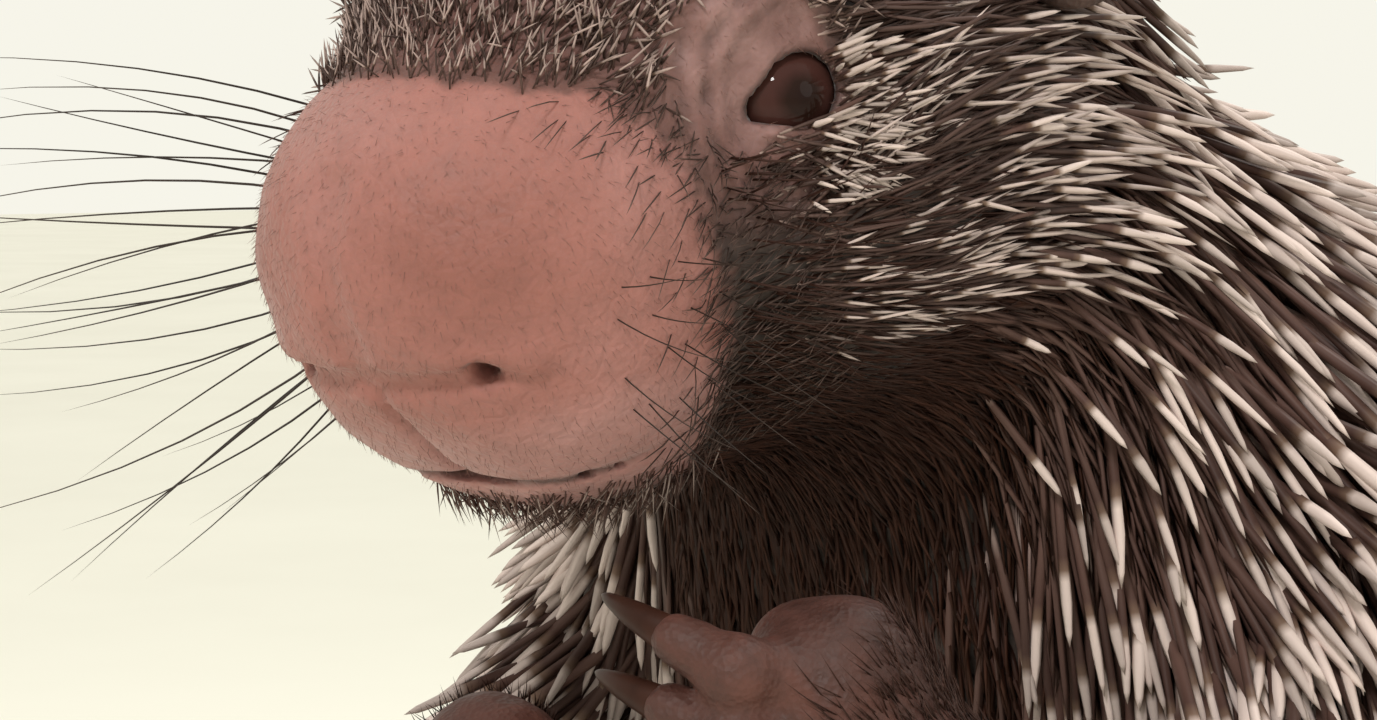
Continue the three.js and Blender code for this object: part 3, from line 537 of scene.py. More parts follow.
def bare_muzzle(points, fore, rise):
    """1 on the bare skin of the nose, 0 where the coat grows: the line of the fur, with its uneven edge."""
    x, y, z = points.T
    ragged = 0.8 * np.sin(x * 0.9 + 1) * np.sin(z * 0.7)
    ragged = ragged + 0.5 * np.sin(y * 1.7 + np.abs(x)) + 0.35 * np.sin(z * 3.1 + x * 2.3)
    edge = np.interp(rise, HAIRLINE_RISE, HAIRLINE_FORE)
    return ease(fore + ragged - edge, -1.4, 1.4) * ease(rise, -37, -34.5)


def eye_ratio(points):
    """The distance from the eye over that of the fur's edge, which is furthest forward and up."""
    _, forward, up = EYE_FRAME
    q = from_eye(points)
    towards = np.cos(np.arctan2(q @ up, q @ forward) - math.radians(45))
    return np.linalg.norm(q, axis=1) / (7.7 + 8.2 * np.maximum(towards, 0) ** 1.3)


# Skin
def body_skin():
    fine, coarse = ((0.83, 3.0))
    axes = [
        stepped(-122, -34, 34, 122, fine, coarse),
        stepped(-124, -122, -52, 132, fine, coarse),
        stepped(-4, 238, 318, 330, fine, coarse),
    ]
    values = on_grid(whole_field, axes)
    near = near_face(*axes)
    block = np.ix_(*[np.flatnonzero(n) for n in near])
    face = [axis[n] for axis, n in zip(axes, near)]
    values[block] = face_detail(*np.meshgrid(*face, indexing="ij", sparse=True), values[block])
    return surface_nets(values, axes)


skin_points, skin_quads = body_skin()
skin_normals = slope_of(detailed_field, skin_points, 0.25)


class Pool:
    """Seeded random places on the skin, with what the coat needs to know of each."""

    def __init__(self, points, quads, normals):
        triangles = np.concatenate([quads[:, [0, 1, 2]], quads[:, [0, 2, 3]]])
        a, b, c = (points[triangles[:, k]] for k in range(3))
        area = np.linalg.norm(np.cross(b - a, c - a), axis=1) / 2
        middle = (a + b + c) / 3
        face = ease(-middle[:, 1], 50, 60) * ease(middle[:, 2], 228, 238)
        weight = area * mix(0.9, 3.4, face)  # places on each square millimetre
        number = int(weight.sum())
        pick = np.searchsorted(np.cumsum(weight), random.random(number) * weight.sum())
        u, v = random.random((2, number, 1))
        flip = u + v > 1
        u, v = np.where(flip, 1 - u, u), np.where(flip, 1 - v, v)
        corners = triangles[np.clip(pick, 0, len(triangles) - 1)]
        shares = (1 - u - v, u, v)
        self.at = sum(points[corners[:, k]] * share for k, share in enumerate(shares))
        self.out = unit(sum(normals[corners[:, k]] * share for k, share in enumerate(shares)))
        self.s, self.angle = on_axis(self.at)
        self.eye = eye_ratio(self.at)
        self.fore, self.rise = head_place(self.at)
        self.bald = bare_muzzle(self.at, self.fore, self.rise)
        self.furred = (1 - self.bald) * (1 - ease(self.fore, 8, 14) * ease(self.at[:, 2], 225, 232))
        self.limb = np.full(number, "", dtype=object)
        limb_flows = np.zeros((number, 3))
        nearest = np.full(number, 1e3)
        for name, field in limb_fields.items():
            far = field(*self.at.T)
            closer = far < nearest
            nearest = np.where(closer, far, nearest)
            self.limb[closer] = name
            limb_flows[closer] = limb_flow(name, self.at[closer])
        self.limb_share = ease(body_field(*self.at.T) - nearest, -3, 9)
        hang = 2.6 * ease(self.s, 2.8, 4.2) * (1 - ease(self.s, 5.15, 5.7))
        ahead = 0.9 * ease(self.s, 3.5, 4.5) * (1 - ease(self.s, 5.4, 6.0))
        body_flow = hang[:, None] * np.array([0, 0, -1.0]) - at_places(self.s - ahead, AXIS_S, AXIS_ALONG)
        share = self.limb_share[:, None]
        self.flow = flattened(body_flow * (1 - share) + limb_flows * share, self.out)
        edge = mix(mix(-0.55, -0.86, ease(self.s, 2.6, 4.4)), -0.5, ease(self.s, 5.4, 6.2))
        edge = mix(edge, -0.84, ease(self.s, 3.8, 4.4) * (1 - ease(self.s, 4.9, 5.3)))
        edge = mix(edge, -0.78, ease(self.s, 4.9, 5.4) * (1 - ease(self.s, 7.5, 8.2)))
        self.dorsal = ease(np.sin(self.angle), edge - 0.1, edge + 0.3)

    def take(self, keep, spacing):
        """The places that a layer grows from: keep is the share kept at each, spacing the distance apart."""
        spacing = np.broadcast_to(spacing * math.sqrt(THIN), len(self.at))
        order = random.permutation(len(self.at))
        chosen = order[random.random(len(order)) < keep[order]]
        cell = np.floor(self.at[chosen] / spacing[chosen, None] + 1000).astype(np.int64)
        key = (cell[:, 0] * 4096 + cell[:, 1]) * 4096 + cell[:, 2]
        _, first = np.unique(key, return_index=True)
        return chosen[np.sort(first)]


def limb_flow(name, points):
    """The lie of the coat on a limb: down the thigh, and along the other limbs to their ends."""
    if name.startswith("thigh"):
        return np.broadcast_to(unit((SIDES[name.split("_")[-1]] * 0.1, 0.55, -0.8)), points.shape)
    path = LIMBS[name][0]
    links = list(zip(path[:-1], path[1:]))
    near = [np.linalg.norm(points - (a + b) / 2, axis=1) for a, b in links]
    return np.array([unit(b - a) for a, b in links])[np.argmin(near, 0)]


pool = Pool(skin_points, skin_quads, skin_normals)

# An unwrap of the skin: trunk and head by place and angle below, and a strip above for each limb, paw and tail
STRIPS = 13
FOREPAW_STRIP, HIND_FOOT_STRIP, TAIL_STRIP = 3, 5, 12


def unwrap(s, angle):
    v = 0.02 + 0.7 * np.clip((s + 1.6) / (LAST_STATION + 3.4), 0, 1)
    return np.stack([0.02 + 0.96 * (angle / (2 * math.pi) + 0.5), v], 1)


def in_strip(number, turn, run):
    """Places in a strip: turn goes across it and run along it, both from 0 to 1."""
    return np.stack([(number + 0.05 + 0.9 * turn) / STRIPS, 0.76 + 0.22 * run], 1)


def coat_patches(chosen):
    patches = unwrap(pool.s[chosen], pool.angle[chosen])
    for number, (name, (path, _)) in enumerate(LIMBS.items()):
        mine = (pool.limb[chosen] == name) & (pool.limb_share[chosen] > 0.5)
        along = unit(path[-1] - path[0])
        q = pool.at[chosen][mine] - path[0]
        side = unit(np.cross(along, (0, 0, 1)))
        turn = np.arctan2(q @ side, q @ np.cross(side, along)) / (2 * math.pi) + 0.5
        run = np.clip((q @ along + 40) / (np.linalg.norm(path[-1] - path[0]) + 80), 0, 1)
        patches[mine] = in_strip(number, turn, run)
    return patches


# Quills, hairs and whiskers: tapered spikes, many in one mesh
PATCH = 0.003  # the breadth of one spike's place on the unwrap
PIECE_LIMIT = 190000  # triangles in one piece of the coat


def spikes(name, roots, outs, ways, lengths, radii, patches, bend, sides, profile, **tones):
    """Spikes that leave their roots along ways and bend towards outs by a share of their length.

    profile lists the place along the spike and the share of its radius for each ring; the last is the point.
    """
    count, rings = len(roots), len(profile) - 1
    along, width = np.array(profile).T
    side = unit(np.cross(outs, ways))
    over = np.cross(ways, side)
    run = lengths[:, None] * along
    rise = (bend * lengths)[:, None] * np.maximum(along, 0) ** 2
    centre = roots[:, None] + run[..., None] * ways[:, None] + rise[..., None] * over[:, None]
    cosines, sines = circle(sides)
    ring = cosines * side[:, None] + sines * over[:, None]
    body = centre[:, :rings, None] + ring[:, None] * (radii[:, None] * width[:rings])[..., None, None]
    points = np.concatenate([body.reshape(count, -1, 3), centre[:, -1:]], 1).reshape(-1, 3)
    around = range(sides)
    faces = [[(j, k), (j + 1, k), (j + 1, k + 1), (j, k + 1)] for k in range(rings - 1) for j in around]
    faces += [[(j, rings - 1), (j + 1, rings - 1), (j + 0.5, rings)] for j in around]
    faces.append([(j, 0) for j in around][::-1])
    local = np.array([place for face in faces for place in face], float)
    point, each = rings * sides, rings * sides + 1
    corners = np.where(local[:, 1] < rings, local[:, 1] * sides + local[:, 0] % sides, point).astype(int)
    corners = (corners + np.arange(count)[:, None] * each).ravel()
    sizes = np.tile([len(face) for face in faces], count)
    uv = patches[:, None] + (local / (sides, rings) - 0.5) * PATCH
    tones = {key: np.repeat(values, each) for key, values in tones.items()}
    tones["along"] = np.tile(np.clip(np.append(np.repeat(along[:rings], sides), along[-1]), 0, 1), count)
    return new_mesh(name, points, corners, sizes, uv=uv, **tones)


def coat_layer(name, material, roots, outs, ways, lengths, radii, patches, *, sides, profile, bend, **tones):
    """One layer, split into pieces under the limit, from the nose to the rump."""
    count, rings = len(roots), len(profile) - 1
    pieces = math.ceil(count * ((rings - 1) * sides * 2 + 2 * sides - 2) / PIECE_LIMIT)
    lengths, radii, bend = (np.broadcast_to(value, count) for value in (lengths, radii, bend))
    every = (roots, outs, ways, lengths, radii, patches, bend)
    order = np.argsort(patches[:, 1], kind="stable")
    for number, group in enumerate(np.array_split(order, pieces)):
        piece_name = f"{name}_{number + 1}" if pieces > 1 else name
        mine = {key: values[group] for key, values in tones.items()}
        mesh = spikes(piece_name, *[values[group] for values in every], sides, profile, **mine)
        add_piece(mesh, material)


def lean(roots, outs, flows, lengths, heights, low=6.0, high=65.0):
    """The directions that bring the tips of spikes of these lengths to these heights over the skin."""
    least, most = np.full(len(roots), math.radians(low)), np.full(len(roots), math.radians(high))
    for _ in range(9):
        lift = (least + most) / 2
        way = raised(flows, outs, lift)
        tip, middle = roots + way * lengths[:, None], roots + way * (lengths * 0.5)[:, None]
        short = (whole_field(*tip.T) < heights) | (whole_field(*middle.T) < heights * 0.3)
        least, most = np.where(short, lift, least), np.where(short, most, lift)
    return raised(flows, outs, most)


def off_floor(roots, ways, lengths, least=0.8):
    """The same directions, tipped up where the point would go under the floor."""
    low = roots[:, 2] + ways[:, 2] * lengths < least
    lift = np.clip((least - roots[:, 2]) / lengths, -0.999, 0.999)
    flat = unit(ways * (1, 1, 0)) * np.sqrt(1 - lift**2)[:, None] + np.stack([0 * lift, 0 * lift, lift], 1)
    return np.where(low[:, None], flat, ways)


def jittered(ways, amount):
    return unit(ways + random.normal(0, amount, ways.shape))


def grow(name, material, chosen, lengths, radii, heights, *, sides, profile, bend, jitter, **tones):
    """A layer of the body's coat on the chosen places of the pool."""
    roots, outs = pool.at[chosen], pool.out[chosen]
    flat = flattened(jittered(pool.flow[chosen], jitter), outs)
    ways = off_floor(roots, lean(roots, outs, flat, lengths, heights), lengths)
    coat_layer(
        name, material, roots, outs, ways, lengths, radii, coat_patches(chosen),
        sides=sides, profile=profile, bend=bend, tone=random.random(len(chosen)), **tones,
    )


def grey(value):
    return (value, value, value)


# Node materials
class Nodes:
    def __init__(self, name):
        self.material = bpy.data.materials.new(name)
        self.material.use_nodes = True
        self.tree = self.material.node_tree
        self.shader = self.tree.nodes["Principled BSDF"]

    def node(self, kind, inputs=None, **settings):
        made = self.tree.nodes.new("ShaderNode" + kind)
        for key, value in settings.items():
            setattr(made, key, value)
        for key, value in (inputs or {}).items():
            if isinstance(value, bpy.types.NodeSocket):
                self.tree.links.new(value, made.inputs[key])
            else:
                made.inputs[key].default_value = (*value, 1) if isinstance(value, tuple) else value
        return made

    def attribute(self, name):
        return self.node("Attribute", attribute_name=name).outputs["Fac"]

    def noise(self, scale, detail, roughness=0.55):
        place = self.node("TexCoord").outputs["Object"]
        inputs = {"Scale": scale, "Detail": detail, "Roughness": roughness, "Vector": place}
        return self.node("TexNoise", inputs).outputs["Fac"]

    def cells(self, scale, feature="F1"):
        place = self.node("TexCoord").outputs["Object"]
        return self.node("TexVoronoi", {"Scale": scale, "Vector": place}, feature=feature).outputs["Distance"]

    def math(self, operation, a, b=0.0, c=0.0):
        return self.node("Math", {0: a, 1: b, 2: c}, operation=operation).outputs[0]

    def weighed(self, *terms):
        """The sum of the values, each times its weight."""
        total, *others = [self.math("MULTIPLY", value, weight) for value, weight in terms]
        for other in others:
            total = self.math("ADD", total, other)
        return total

    def ramp(self, factor, *stops):
        made = self.node("ValToRGB", {"Fac": factor})
        elements = made.color_ramp.elements
        while len(elements) > 1:
            elements.remove(elements[-1])
        elements[0].position, elements[0].color = stops[0][0], (*stops[0][1], 1)
        for place, colour in stops[1:]:
            elements.new(place).color = (*colour, 1)
        return made.outputs["Color"]

    def greys(self, factor, low, dark, high, light):
        return self.ramp(factor, (low, grey(dark)), (high, grey(light)))

    def blend(self, factor, a, b, mode="MIX"):
        inputs = {"Fac": factor, "Color1": a, "Color2": b}
        return self.node("MixRGB", inputs, blend_type=mode).outputs["Color"]

    def toned(self, colour):
        """The colour, lighter or darker from spike to spike."""
        value = self.math("MULTIPLY_ADD", self.attribute("tone"), 0.5, 0.6)
        return self.blend(1.0, colour, self.greys(value, 0, 0, 1, 1), "MULTIPLY")

    def link(self, output, name):
        self.tree.links.new(output, self.shader.inputs[name])

    def bump(self, height, strength, distance):
        made = self.node("Bump", {"Height": height, "Strength": strength, "Distance": distance})
        self.link(made.outputs["Normal"], "Normal")

    def finish(self, colour, **values):
        """The material with this colour, and with the shader's own values set."""
        self.link(colour, "Base Color")
        for key, value in values.items():
            self.shader.inputs[key.replace("_", " ")].default_value = value
        return self.material


CREAM, TIP_SHADE = (0.66, 0.545, 0.50), (0.40, 0.29, 0.25)
DARK, DARKER = (0.135, 0.076, 0.062), (0.070, 0.036, 0.029)
FLESH_DEPTH = (0.9, 0.35, 0.2)  # how far light spreads under bare skin, in red, green and blue


def quill_material(name, tip_start, tip_colours=(TIP_SHADE, CREAM), base=0.22, dark=(DARK, DARKER)):
    """Pale at the root, dark in the middle, cream at the tip; the tip's start varies from quill to quill."""
    n = Nodes(name)
    along = n.attribute("along")
    shifted = n.math("ADD", along, n.math("MULTIPLY_ADD", n.attribute("tone"), 0.16, -0.08))
    band = n.ramp(
        shifted, (0.0, tip_colours[0]), (base * 0.6, tip_colours[0]), (base, dark[0]),
        (tip_start - 0.06, dark[1]), (tip_start, (0.16, 0.10, 0.07)),
        (tip_start + 0.05, tip_colours[1]), (1.0, tip_colours[1]),
    )
    plain = n.ramp(along, (0.0, tip_colours[0]), (base, dark[0]), (1.0, dark[1]))
    colour = n.toned(n.blend(n.attribute("white"), plain, band))
    return n.finish(colour, Roughness=0.5, Specular_IOR_Level=0.16)


def hair_material(name, root, tip, rough=0.55):
    n = Nodes(name)
    colour = n.toned(n.ramp(n.attribute("along"), (0.0, root), (0.55, root), (1.0, tip)))
    return n.finish(colour, Roughness=rough, Specular_IOR_Level=0.2)


def soft_material():
    """Short fur: near black on throat, arms and chest, greyer on the belly."""
    n = Nodes("soft_fur")
    along = n.attribute("along")
    front = n.ramp(
        along, (0.0, (0.036, 0.011, 0.006)), (0.55, (0.044, 0.015, 0.008)), (1.0, (0.075, 0.034, 0.023)),
    )
    under = n.ramp(
        along, (0.0, (0.050, 0.034, 0.028)), (0.5, (0.070, 0.050, 0.041)), (1.0, (0.19, 0.145, 0.118)),
    )
    colour = n.toned(n.blend(n.attribute("white"), front, under))
    return n.finish(colour, Roughness=0.6, Specular_IOR_Level=0.2)


def skin_material():
    """Pink-brown and bare on nose and round the eyes, near black where the coat grows."""
    n = Nodes("body_skin")
    broad, fine = n.noise(34.0, 3.0), n.noise(420.0, 6.0, 0.65)
    mottle = n.weighed((broad, 0.5), (n.attribute("tint"), 0.5))
    nose = n.ramp(
        mottle, (0.25, (0.235, 0.088, 0.068)), (0.5, (0.30, 0.122, 0.100)), (0.75, (0.35, 0.178, 0.160)),
    )
    # Painted shade: the fine noise also raises the bump below, so this darkens the nose's skin in the low
    # places of its relief
    nose = n.blend(0.7, nose, n.greys(fine, 0.35, 0.8, 0.62, 1.0), "MULTIPLY")
    lid = n.ramp(n.noise(150.0, 5.0), (0.3, (0.13, 0.060, 0.052)), (0.65, (0.265, 0.150, 0.138)))
    nose = n.blend(n.attribute("pale"), nose, lid)
    under = n.ramp(fine, (0.3, (0.018, 0.011, 0.009)), (0.7, (0.042, 0.026, 0.020)))
    colour = n.blend(n.attribute("bare"), under, nose)
    # Painted shade: the dark mask darkens the lids' rims where they meet the eyeball, the folds round the
    # eyes, the nostrils and the line between the lips
    colour = n.blend(n.attribute("dark"), colour, (0.020, 0.009, 0.007))
    creases = n.greys(n.cells(420.0, "DISTANCE_TO_EDGE"), 0, 0, 0.14, 1)
    n.bump(n.weighed((n.cells(1500.0), 0.45), (creases, 0.3), (fine, 0.9)), 0.4, 0.0004)
    n.link(n.greys(fine, 0.3, 0.52, 0.7, 0.7), "Roughness")
    return n.finish(
        colour, Specular_IOR_Level=0.35, Sheen_Weight=0.12, Sheen_Roughness=0.45,
        Subsurface_Weight=0.15, Subsurface_Radius=FLESH_DEPTH, Subsurface_Scale=0.003,
    )


def paw_material(name, light, deep):
    """Bare wrinkled skin, darker in its folds with painted shade."""
    n = Nodes(name)
    fine = n.noise(330.0, 5.0)
    between = tuple((a + b) / 2 for a, b in zip(light, deep))
    colour = n.ramp(n.noise(60.0, 4.0), (0.3, deep), (0.55, between), (0.75, light))
    # Painted shade: the fine noise also raises the bump, so this darkens the folds
    colour = n.blend(0.8, colour, n.greys(fine, 0.32, 0.55, 0.62, 1.0), "MULTIPLY")
    n.bump(n.weighed((n.cells(1500.0), 0.5), (fine, 1.2)), 0.5, 0.0005)
    n.link(n.greys(fine, 0.3, 0.5, 0.7, 0.7), "Roughness")
    return n.finish(
        colour, Specular_IOR_Level=0.35, Subsurface_Weight=0.08, Subsurface_Radius=FLESH_DEPTH,
        Subsurface_Scale=0.002,
    )


def claw_material():
    n = Nodes("claw_horn")
    streak = n.noise(500.0, 3.0)
    colour = n.ramp(
        n.attribute("along"),
        (0.0, (0.055, 0.020, 0.013)), (0.4, (0.028, 0.010, 0.006)), (1.0, (0.040, 0.018, 0.012)),
    )
    n.bump(streak, 0.15, 0.0002)
    colour = n.blend(0.4, colour, n.greys(streak, 0.35, 0.5, 0.65, 1.0), "MULTIPLY")
    return n.finish(colour, Roughness=0.45, Specular_IOR_Level=0.12)


def eye_material():
    n = Nodes("eye")
    shifted = n.math("ADD", n.attribute("radial"), n.math("MULTIPLY_ADD", n.noise(420.0, 4.0), 0.10, -0.05))
    colour = n.ramp(
        shifted, (0.0, (0.012, 0.005, 0.004)), (0.15, (0.016, 0.007, 0.005)), (0.28, (0.046, 0.018, 0.015)),
        (0.40, (0.052, 0.021, 0.017)), (0.54, (0.026, 0.010, 0.008)), (0.68, (0.012, 0.005, 0.004)),
        (1.0, (0.020, 0.010, 0.008)),
    )
    wet = {"Coat_Weight": 0.9, "Coat_Roughness": 0.02, "Coat_IOR": 1.21}
    return n.finish(colour, Roughness=0.6, Specular_IOR_Level=0.0, **wet)


def tail_material():
    """Dark skin that grows paler along the bare coil, with fine scales and rings."""
    n = Nodes("tail_skin")
    along = n.attribute("along")
    colour = n.ramp(
        along, (0.0, (0.030, 0.020, 0.016)), (0.45, (0.050, 0.033, 0.026)), (1.0, (0.095, 0.060, 0.046)),
    )
    rings = n.math("SINE", n.math("MULTIPLY", along, 720.0))
    line = n.greys(n.cells(700.0, "DISTANCE_TO_EDGE"), 0.0, 0.45, 0.16, 1.0)
    grain = n.math("ADD", line, n.noise(300.0, 5.0))
    n.bump(n.math("ADD", n.math("MULTIPLY", rings, 0.25), grain), 0.5, 0.0008)
    return n.finish(n.blend(0.7, colour, line, "MULTIPLY"), Roughness=0.6, Specular_IOR_Level=0.35)


def skin_masks():
    """Where the skin is bare, pale and dark, and how its pink varies; dark is the lids' own rims with shade
    painted where they meet the eyeball, and shade painted into the folds round the eyes, the nostrils and the
    line between the lips.
    """
    fore, rise = head_place(skin_points)
    nose = bare_muzzle(skin_points, fore, rise)
    near_eye = 1 - ease(eye_ratio(skin_points) + 0.05 * np.sin(skin_points[:, 2] * 1.3), 0.9, 1.15)
    q = from_eye(skin_points)
    out, along, high = (q @ way for way in LID_FRAME)
    low = np.clip(-eye_folds(np.hypot(along, high), np.arctan2(high, along)) / 0.5, 0, 1)
    on_left = np.abs(skin_points * (1, 0, 0)) + skin_points * (0, 1, 1)
    from_nostril, from_spot = (
        np.linalg.norm(on_left - middle, axis=1) for middle in (NOSTRIL, head_point(14, 37, -4))
    )
    lips = (1 - ease(np.abs(rise - lip_line(on_left[:, 0])), 0.2, 0.8)) * ease(fore, 20, 26)
    # dark: the lids' own dark rims with painted shade where they meet the eyeball, then painted shade in the
    # troughs of the eye folds, in the nostrils and along the line between the lips
    dark = np.max([
        (1 - ease(np.linalg.norm(q, axis=1), 7.2, 8.4)) * 0.85, 0.42 * low * near_eye * (out > 0),
        0.95 * (1 - ease(from_nostril, 1.2, 2.0)), 0.8 * lips,
    ], axis=0)
    tint = 0.5 - 0.34 * (1 - ease(from_spot, 3, 15)) + 0.5 * ease(-rise, 19, 26) + 0.08 * ease(rise, 0, 9)
    bare = np.max([nose, near_eye, 0.4 * ease(fore, -8, 6) * ease(rise, -14, -4)], axis=0)
    return {"bare": bare, "pale": near_eye * (1 - nose), "dark": dark, "tint": tint}


flesh = ["rump", "abdomen", "thorax", "neck", "head", "muzzle", "lower_jaw"]
flesh += [f"{part}_{side}" for part in ("upper_arm", "forearm", "thigh", "shank") for side in SIDES]
skin_mesh = quad_mesh("body_skin", skin_points, skin_quads, **skin_masks())
add_piece(skin_mesh, skin_material(), flesh)

# Profiles: the place of each ring along the spike, and its share of the radius
QUILL_PROFILE = [(-0.05, 0.65), (0.35, 0.92), (0.8, 1.0), (0.94, 0.6), (1.0, 0.0)]
FINE_PROFILE = [(-0.08, 0.7), (0.35, 1.0), (0.78, 0.8), (1.0, 0.0)]
HAIR_PROFILE = [(-0.1, 0.9), (0.5, 0.8), (1.0, 0.0)]
WHISKER_PROFILE = [
    (-0.02, 1.0), (0.1, 1.0), (0.25, 0.9), (0.4, 0.8), (0.55, 0.66), (0.7, 0.5), (0.85, 0.34), (1.0, 0.0),
]

quill_back = quill_material("quills_back", 0.69)
quill_head = quill_material(
    "quills_head", 0.55, (TIP_SHADE, (0.53, 0.425, 0.385)), 0.1,
    ((0.105, 0.062, 0.051), (0.060, 0.034, 0.028)),
)
quill_face = quill_material("quills_face", 0.3, ((0.34, 0.25, 0.21), (0.60, 0.49, 0.44)), 0.04)
quill_brow = quill_material(
    "quills_brow", 0.5, ((0.24, 0.16, 0.13), (0.48, 0.36, 0.32)), 0.04,
    ((0.10, 0.060, 0.049), (0.060, 0.036, 0.030)),
)
brown_hair = hair_material("brown_hair", (0.060, 0.036, 0.029), (0.125, 0.080, 0.066))
fuzz_hair = hair_material("fuzz", (0.22, 0.115, 0.092), (0.30, 0.19, 0.16))
dark_hair = hair_material("dark_bristles", (0.036, 0.013, 0.008), (0.062, 0.029, 0.020))
soft_hair = soft_material()


def quill_length(s):
    return np.interp(s, range(len(QUILL_LENGTHS)), QUILL_LENGTHS)


def tip_height(s, dorsal):
    tall = mix(TIP_HEIGHT["back"], TIP_HEIGHT["neck"], ease(s, 3.2, 5.2))
    return mix(SOFT_COAT, mix(tall, TIP_HEIGHT["crown"], ease(s, 5.2, 6.6)), dorsal)


def grow_quills(name, chosen, lengths, radii, heights, white, jitter):
    """Quills in two pieces or more: those with a white tip, and the plainer dark ones under them."""
    bend = random.uniform(-0.13, 0.03, len(chosen))
    kinds = (("tipped", white > 0.05, 5, QUILL_PROFILE), ("dark", white <= 0.05, 3, FINE_PROFILE))
    for kind, part, sides, profile in kinds:
        grow(
            f"{name}_{kind}", quill_back, chosen[part], lengths[part], radii[part], heights[part],
            sides=sides, profile=profile, bend=bend[part], jitter=jitter, white=white[part],
        )


def body_quills():
    x, y, z = pool.at.T
    throat = (y < -50) * (1 - ease(np.abs(x + 5), 30, 50)) * (1 - ease(z, 256, 268))
    keep = pool.dorsal * (1 - pool.limb_share) * (1 - ease(pool.s, 6.0, 6.6)) * (1 - 0.92 * throat)
    chosen = pool.take(keep, mix(3.1, 2.3, ease(pool.s, 4.4, 6.2)))
    s, dorsal, throat, y, z = (values[chosen] for values in (pool.s, pool.dorsal, throat, y, z))
    count = len(chosen)
    lengths = quill_length(s) * random.uniform(0.66, 1.15, count) * (1 - 0.4 * throat)
    share = mix(0.95, 0.18, ease(s, 4.6, 5.15)) * mix(1.0, 0.6, ease(z, 284, 300))
    shoulder = ease(-y, 20, 60) * (1 - ease(z, 262, 280))
    white = ease(dorsal + random.uniform(-0.25, 0.25, count) + 0.6 * shoulder, 0.05, 0.45)
    white = white * (random.random(count) < share * (1 - throat))
    rise = mix(random.uniform(0.25, 0.62, count), random.uniform(0.72, 1.1, count), white)
    heights = tip_height(s, dorsal) * rise
    white = white * random.uniform(0.8, 1.0, count)
    radii = mix(0.8, 0.42, ease(s, 4.4, 6.2)) * random.uniform(0.72, 1.15, count)
    lengths = lengths * (1 - 0.3 * shoulder) * mix(0.86, 1.0, ease(s, 4.4, 5.0))
    grow_quills("coat_quills_body", chosen, lengths, radii, heights, white, 0.11)


def limb_quills():
    outer = np.sign(pool.at[:, 0]) * pool.out[:, 0] + 0.35 * pool.out[:, 1] + 0.3 * pool.out[:, 2]
    is_thigh, is_arm = (np.char.startswith(pool.limb.astype(str), part) for part in ("thigh", "upper_arm"))
    keep = pool.limb_share * (is_thigh | is_arm) * ease(outer + 0.5 * is_arm, -0.05, 0.45)
    chosen = pool.take(keep, 3.2)
    count = len(chosen)
    thigh = is_thigh[chosen]
    lengths = np.where(thigh, 34, 24) * random.uniform(0.7, 1.12, count)
    white = ease(outer[chosen] + np.where(thigh, 0, 0.6) + random.uniform(-0.15, 0.15, count), 0.05, 0.35)
    white = white * (random.random(count) < np.where(thigh, 0.8, 0.9))
    rise = mix(random.uniform(0.25, 0.65, count), random.uniform(0.75, 1.1, count), white)
    heights = TIP_HEIGHT["limb"] * np.where(thigh, 1.0, 0.75) * rise
    radii = np.where(thigh, 0.64, 0.48) * random.uniform(0.75, 1.15, count)
    grow_quills("coat_quills_limbs", chosen, lengths, radii, heights, white, 0.12)


def head_quills():
    keep = ease(pool.s, 5.5, 6.1) * pool.dorsal * ease(pool.eye, 1.0, 1.15) * (1 - pool.bald)
    keep = keep * (pool.fore < 8) * ease(pool.rise, -25, -20)
    chosen = pool.take(keep, mix(2.0, 1.4, ease(pool.fore, -25, 5)))
    fore, eye, count = pool.fore[chosen], pool.eye[chosen], len(chosen)
    lengths = quill_length(pool.s[chosen]) * random.uniform(0.62, 1.2, count)
    radii = mix(0.42, 0.22, ease(fore, -30, 4)) * random.uniform(0.75, 1.15, count)
    white = ease(pool.dorsal[chosen] + random.uniform(-0.3, 0.3, count), 0.2, 0.6)
    share = mix(0.26, 0.7, ease(-pool.at[chosen, 2], -294, -280))
    share = share * (1 - 0.8 * (pool.rise[chosen] > 3) * (1 - ease(eye, 1.9, 2.4)))
    gap = 1 - 0.92 * np.exp(-(((eye - 1.95) / 0.36) ** 2))
    white = white * (random.random(count) < share * gap)
    rise = mix(random.uniform(0.25, 0.75, count), random.uniform(0.7, 1.1, count), white)
    heights = tip_height(pool.s[chosen], 1.0) * mix(1.0, 0.3, ease(fore, -22, 4)) * rise
    grow(
        "coat_quills_head", quill_head, chosen, lengths, radii, heights,
        sides=4, profile=FINE_PROFILE, bend=-0.05, jitter=0.13, white=white,
    )


def dark_underlayer():
    chosen = pool.take(ease(pool.eye, 1.05, 1.25) * pool.furred, mix(3.6, 1.8, ease(pool.s, 5.2, 6.6)))
    s, count = pool.s[chosen], len(chosen)
    shape = tip_height(s, np.maximum(pool.dorsal[chosen], pool.limb_share[chosen] * 0.5))
    lengths = mix(9.0, 0.62 * quill_length(s), np.clip(shape / 20, 0, 1)) * random.uniform(0.6, 1.2, count)
    lengths = np.minimum(lengths, 6 + 0.5 * pool.at[chosen, 2])
    heights = shape * random.uniform(0.2, 0.6, count)
    radii = mix(0.48, 0.15, ease(s, 5.0, 6.8)) * random.uniform(0.7, 1.2, count)
    grow(
        "coat_under", dark_hair, chosen, lengths, radii, heights,
        sides=3, profile=HAIR_PROFILE, bend=-0.08, jitter=0.14,
    )


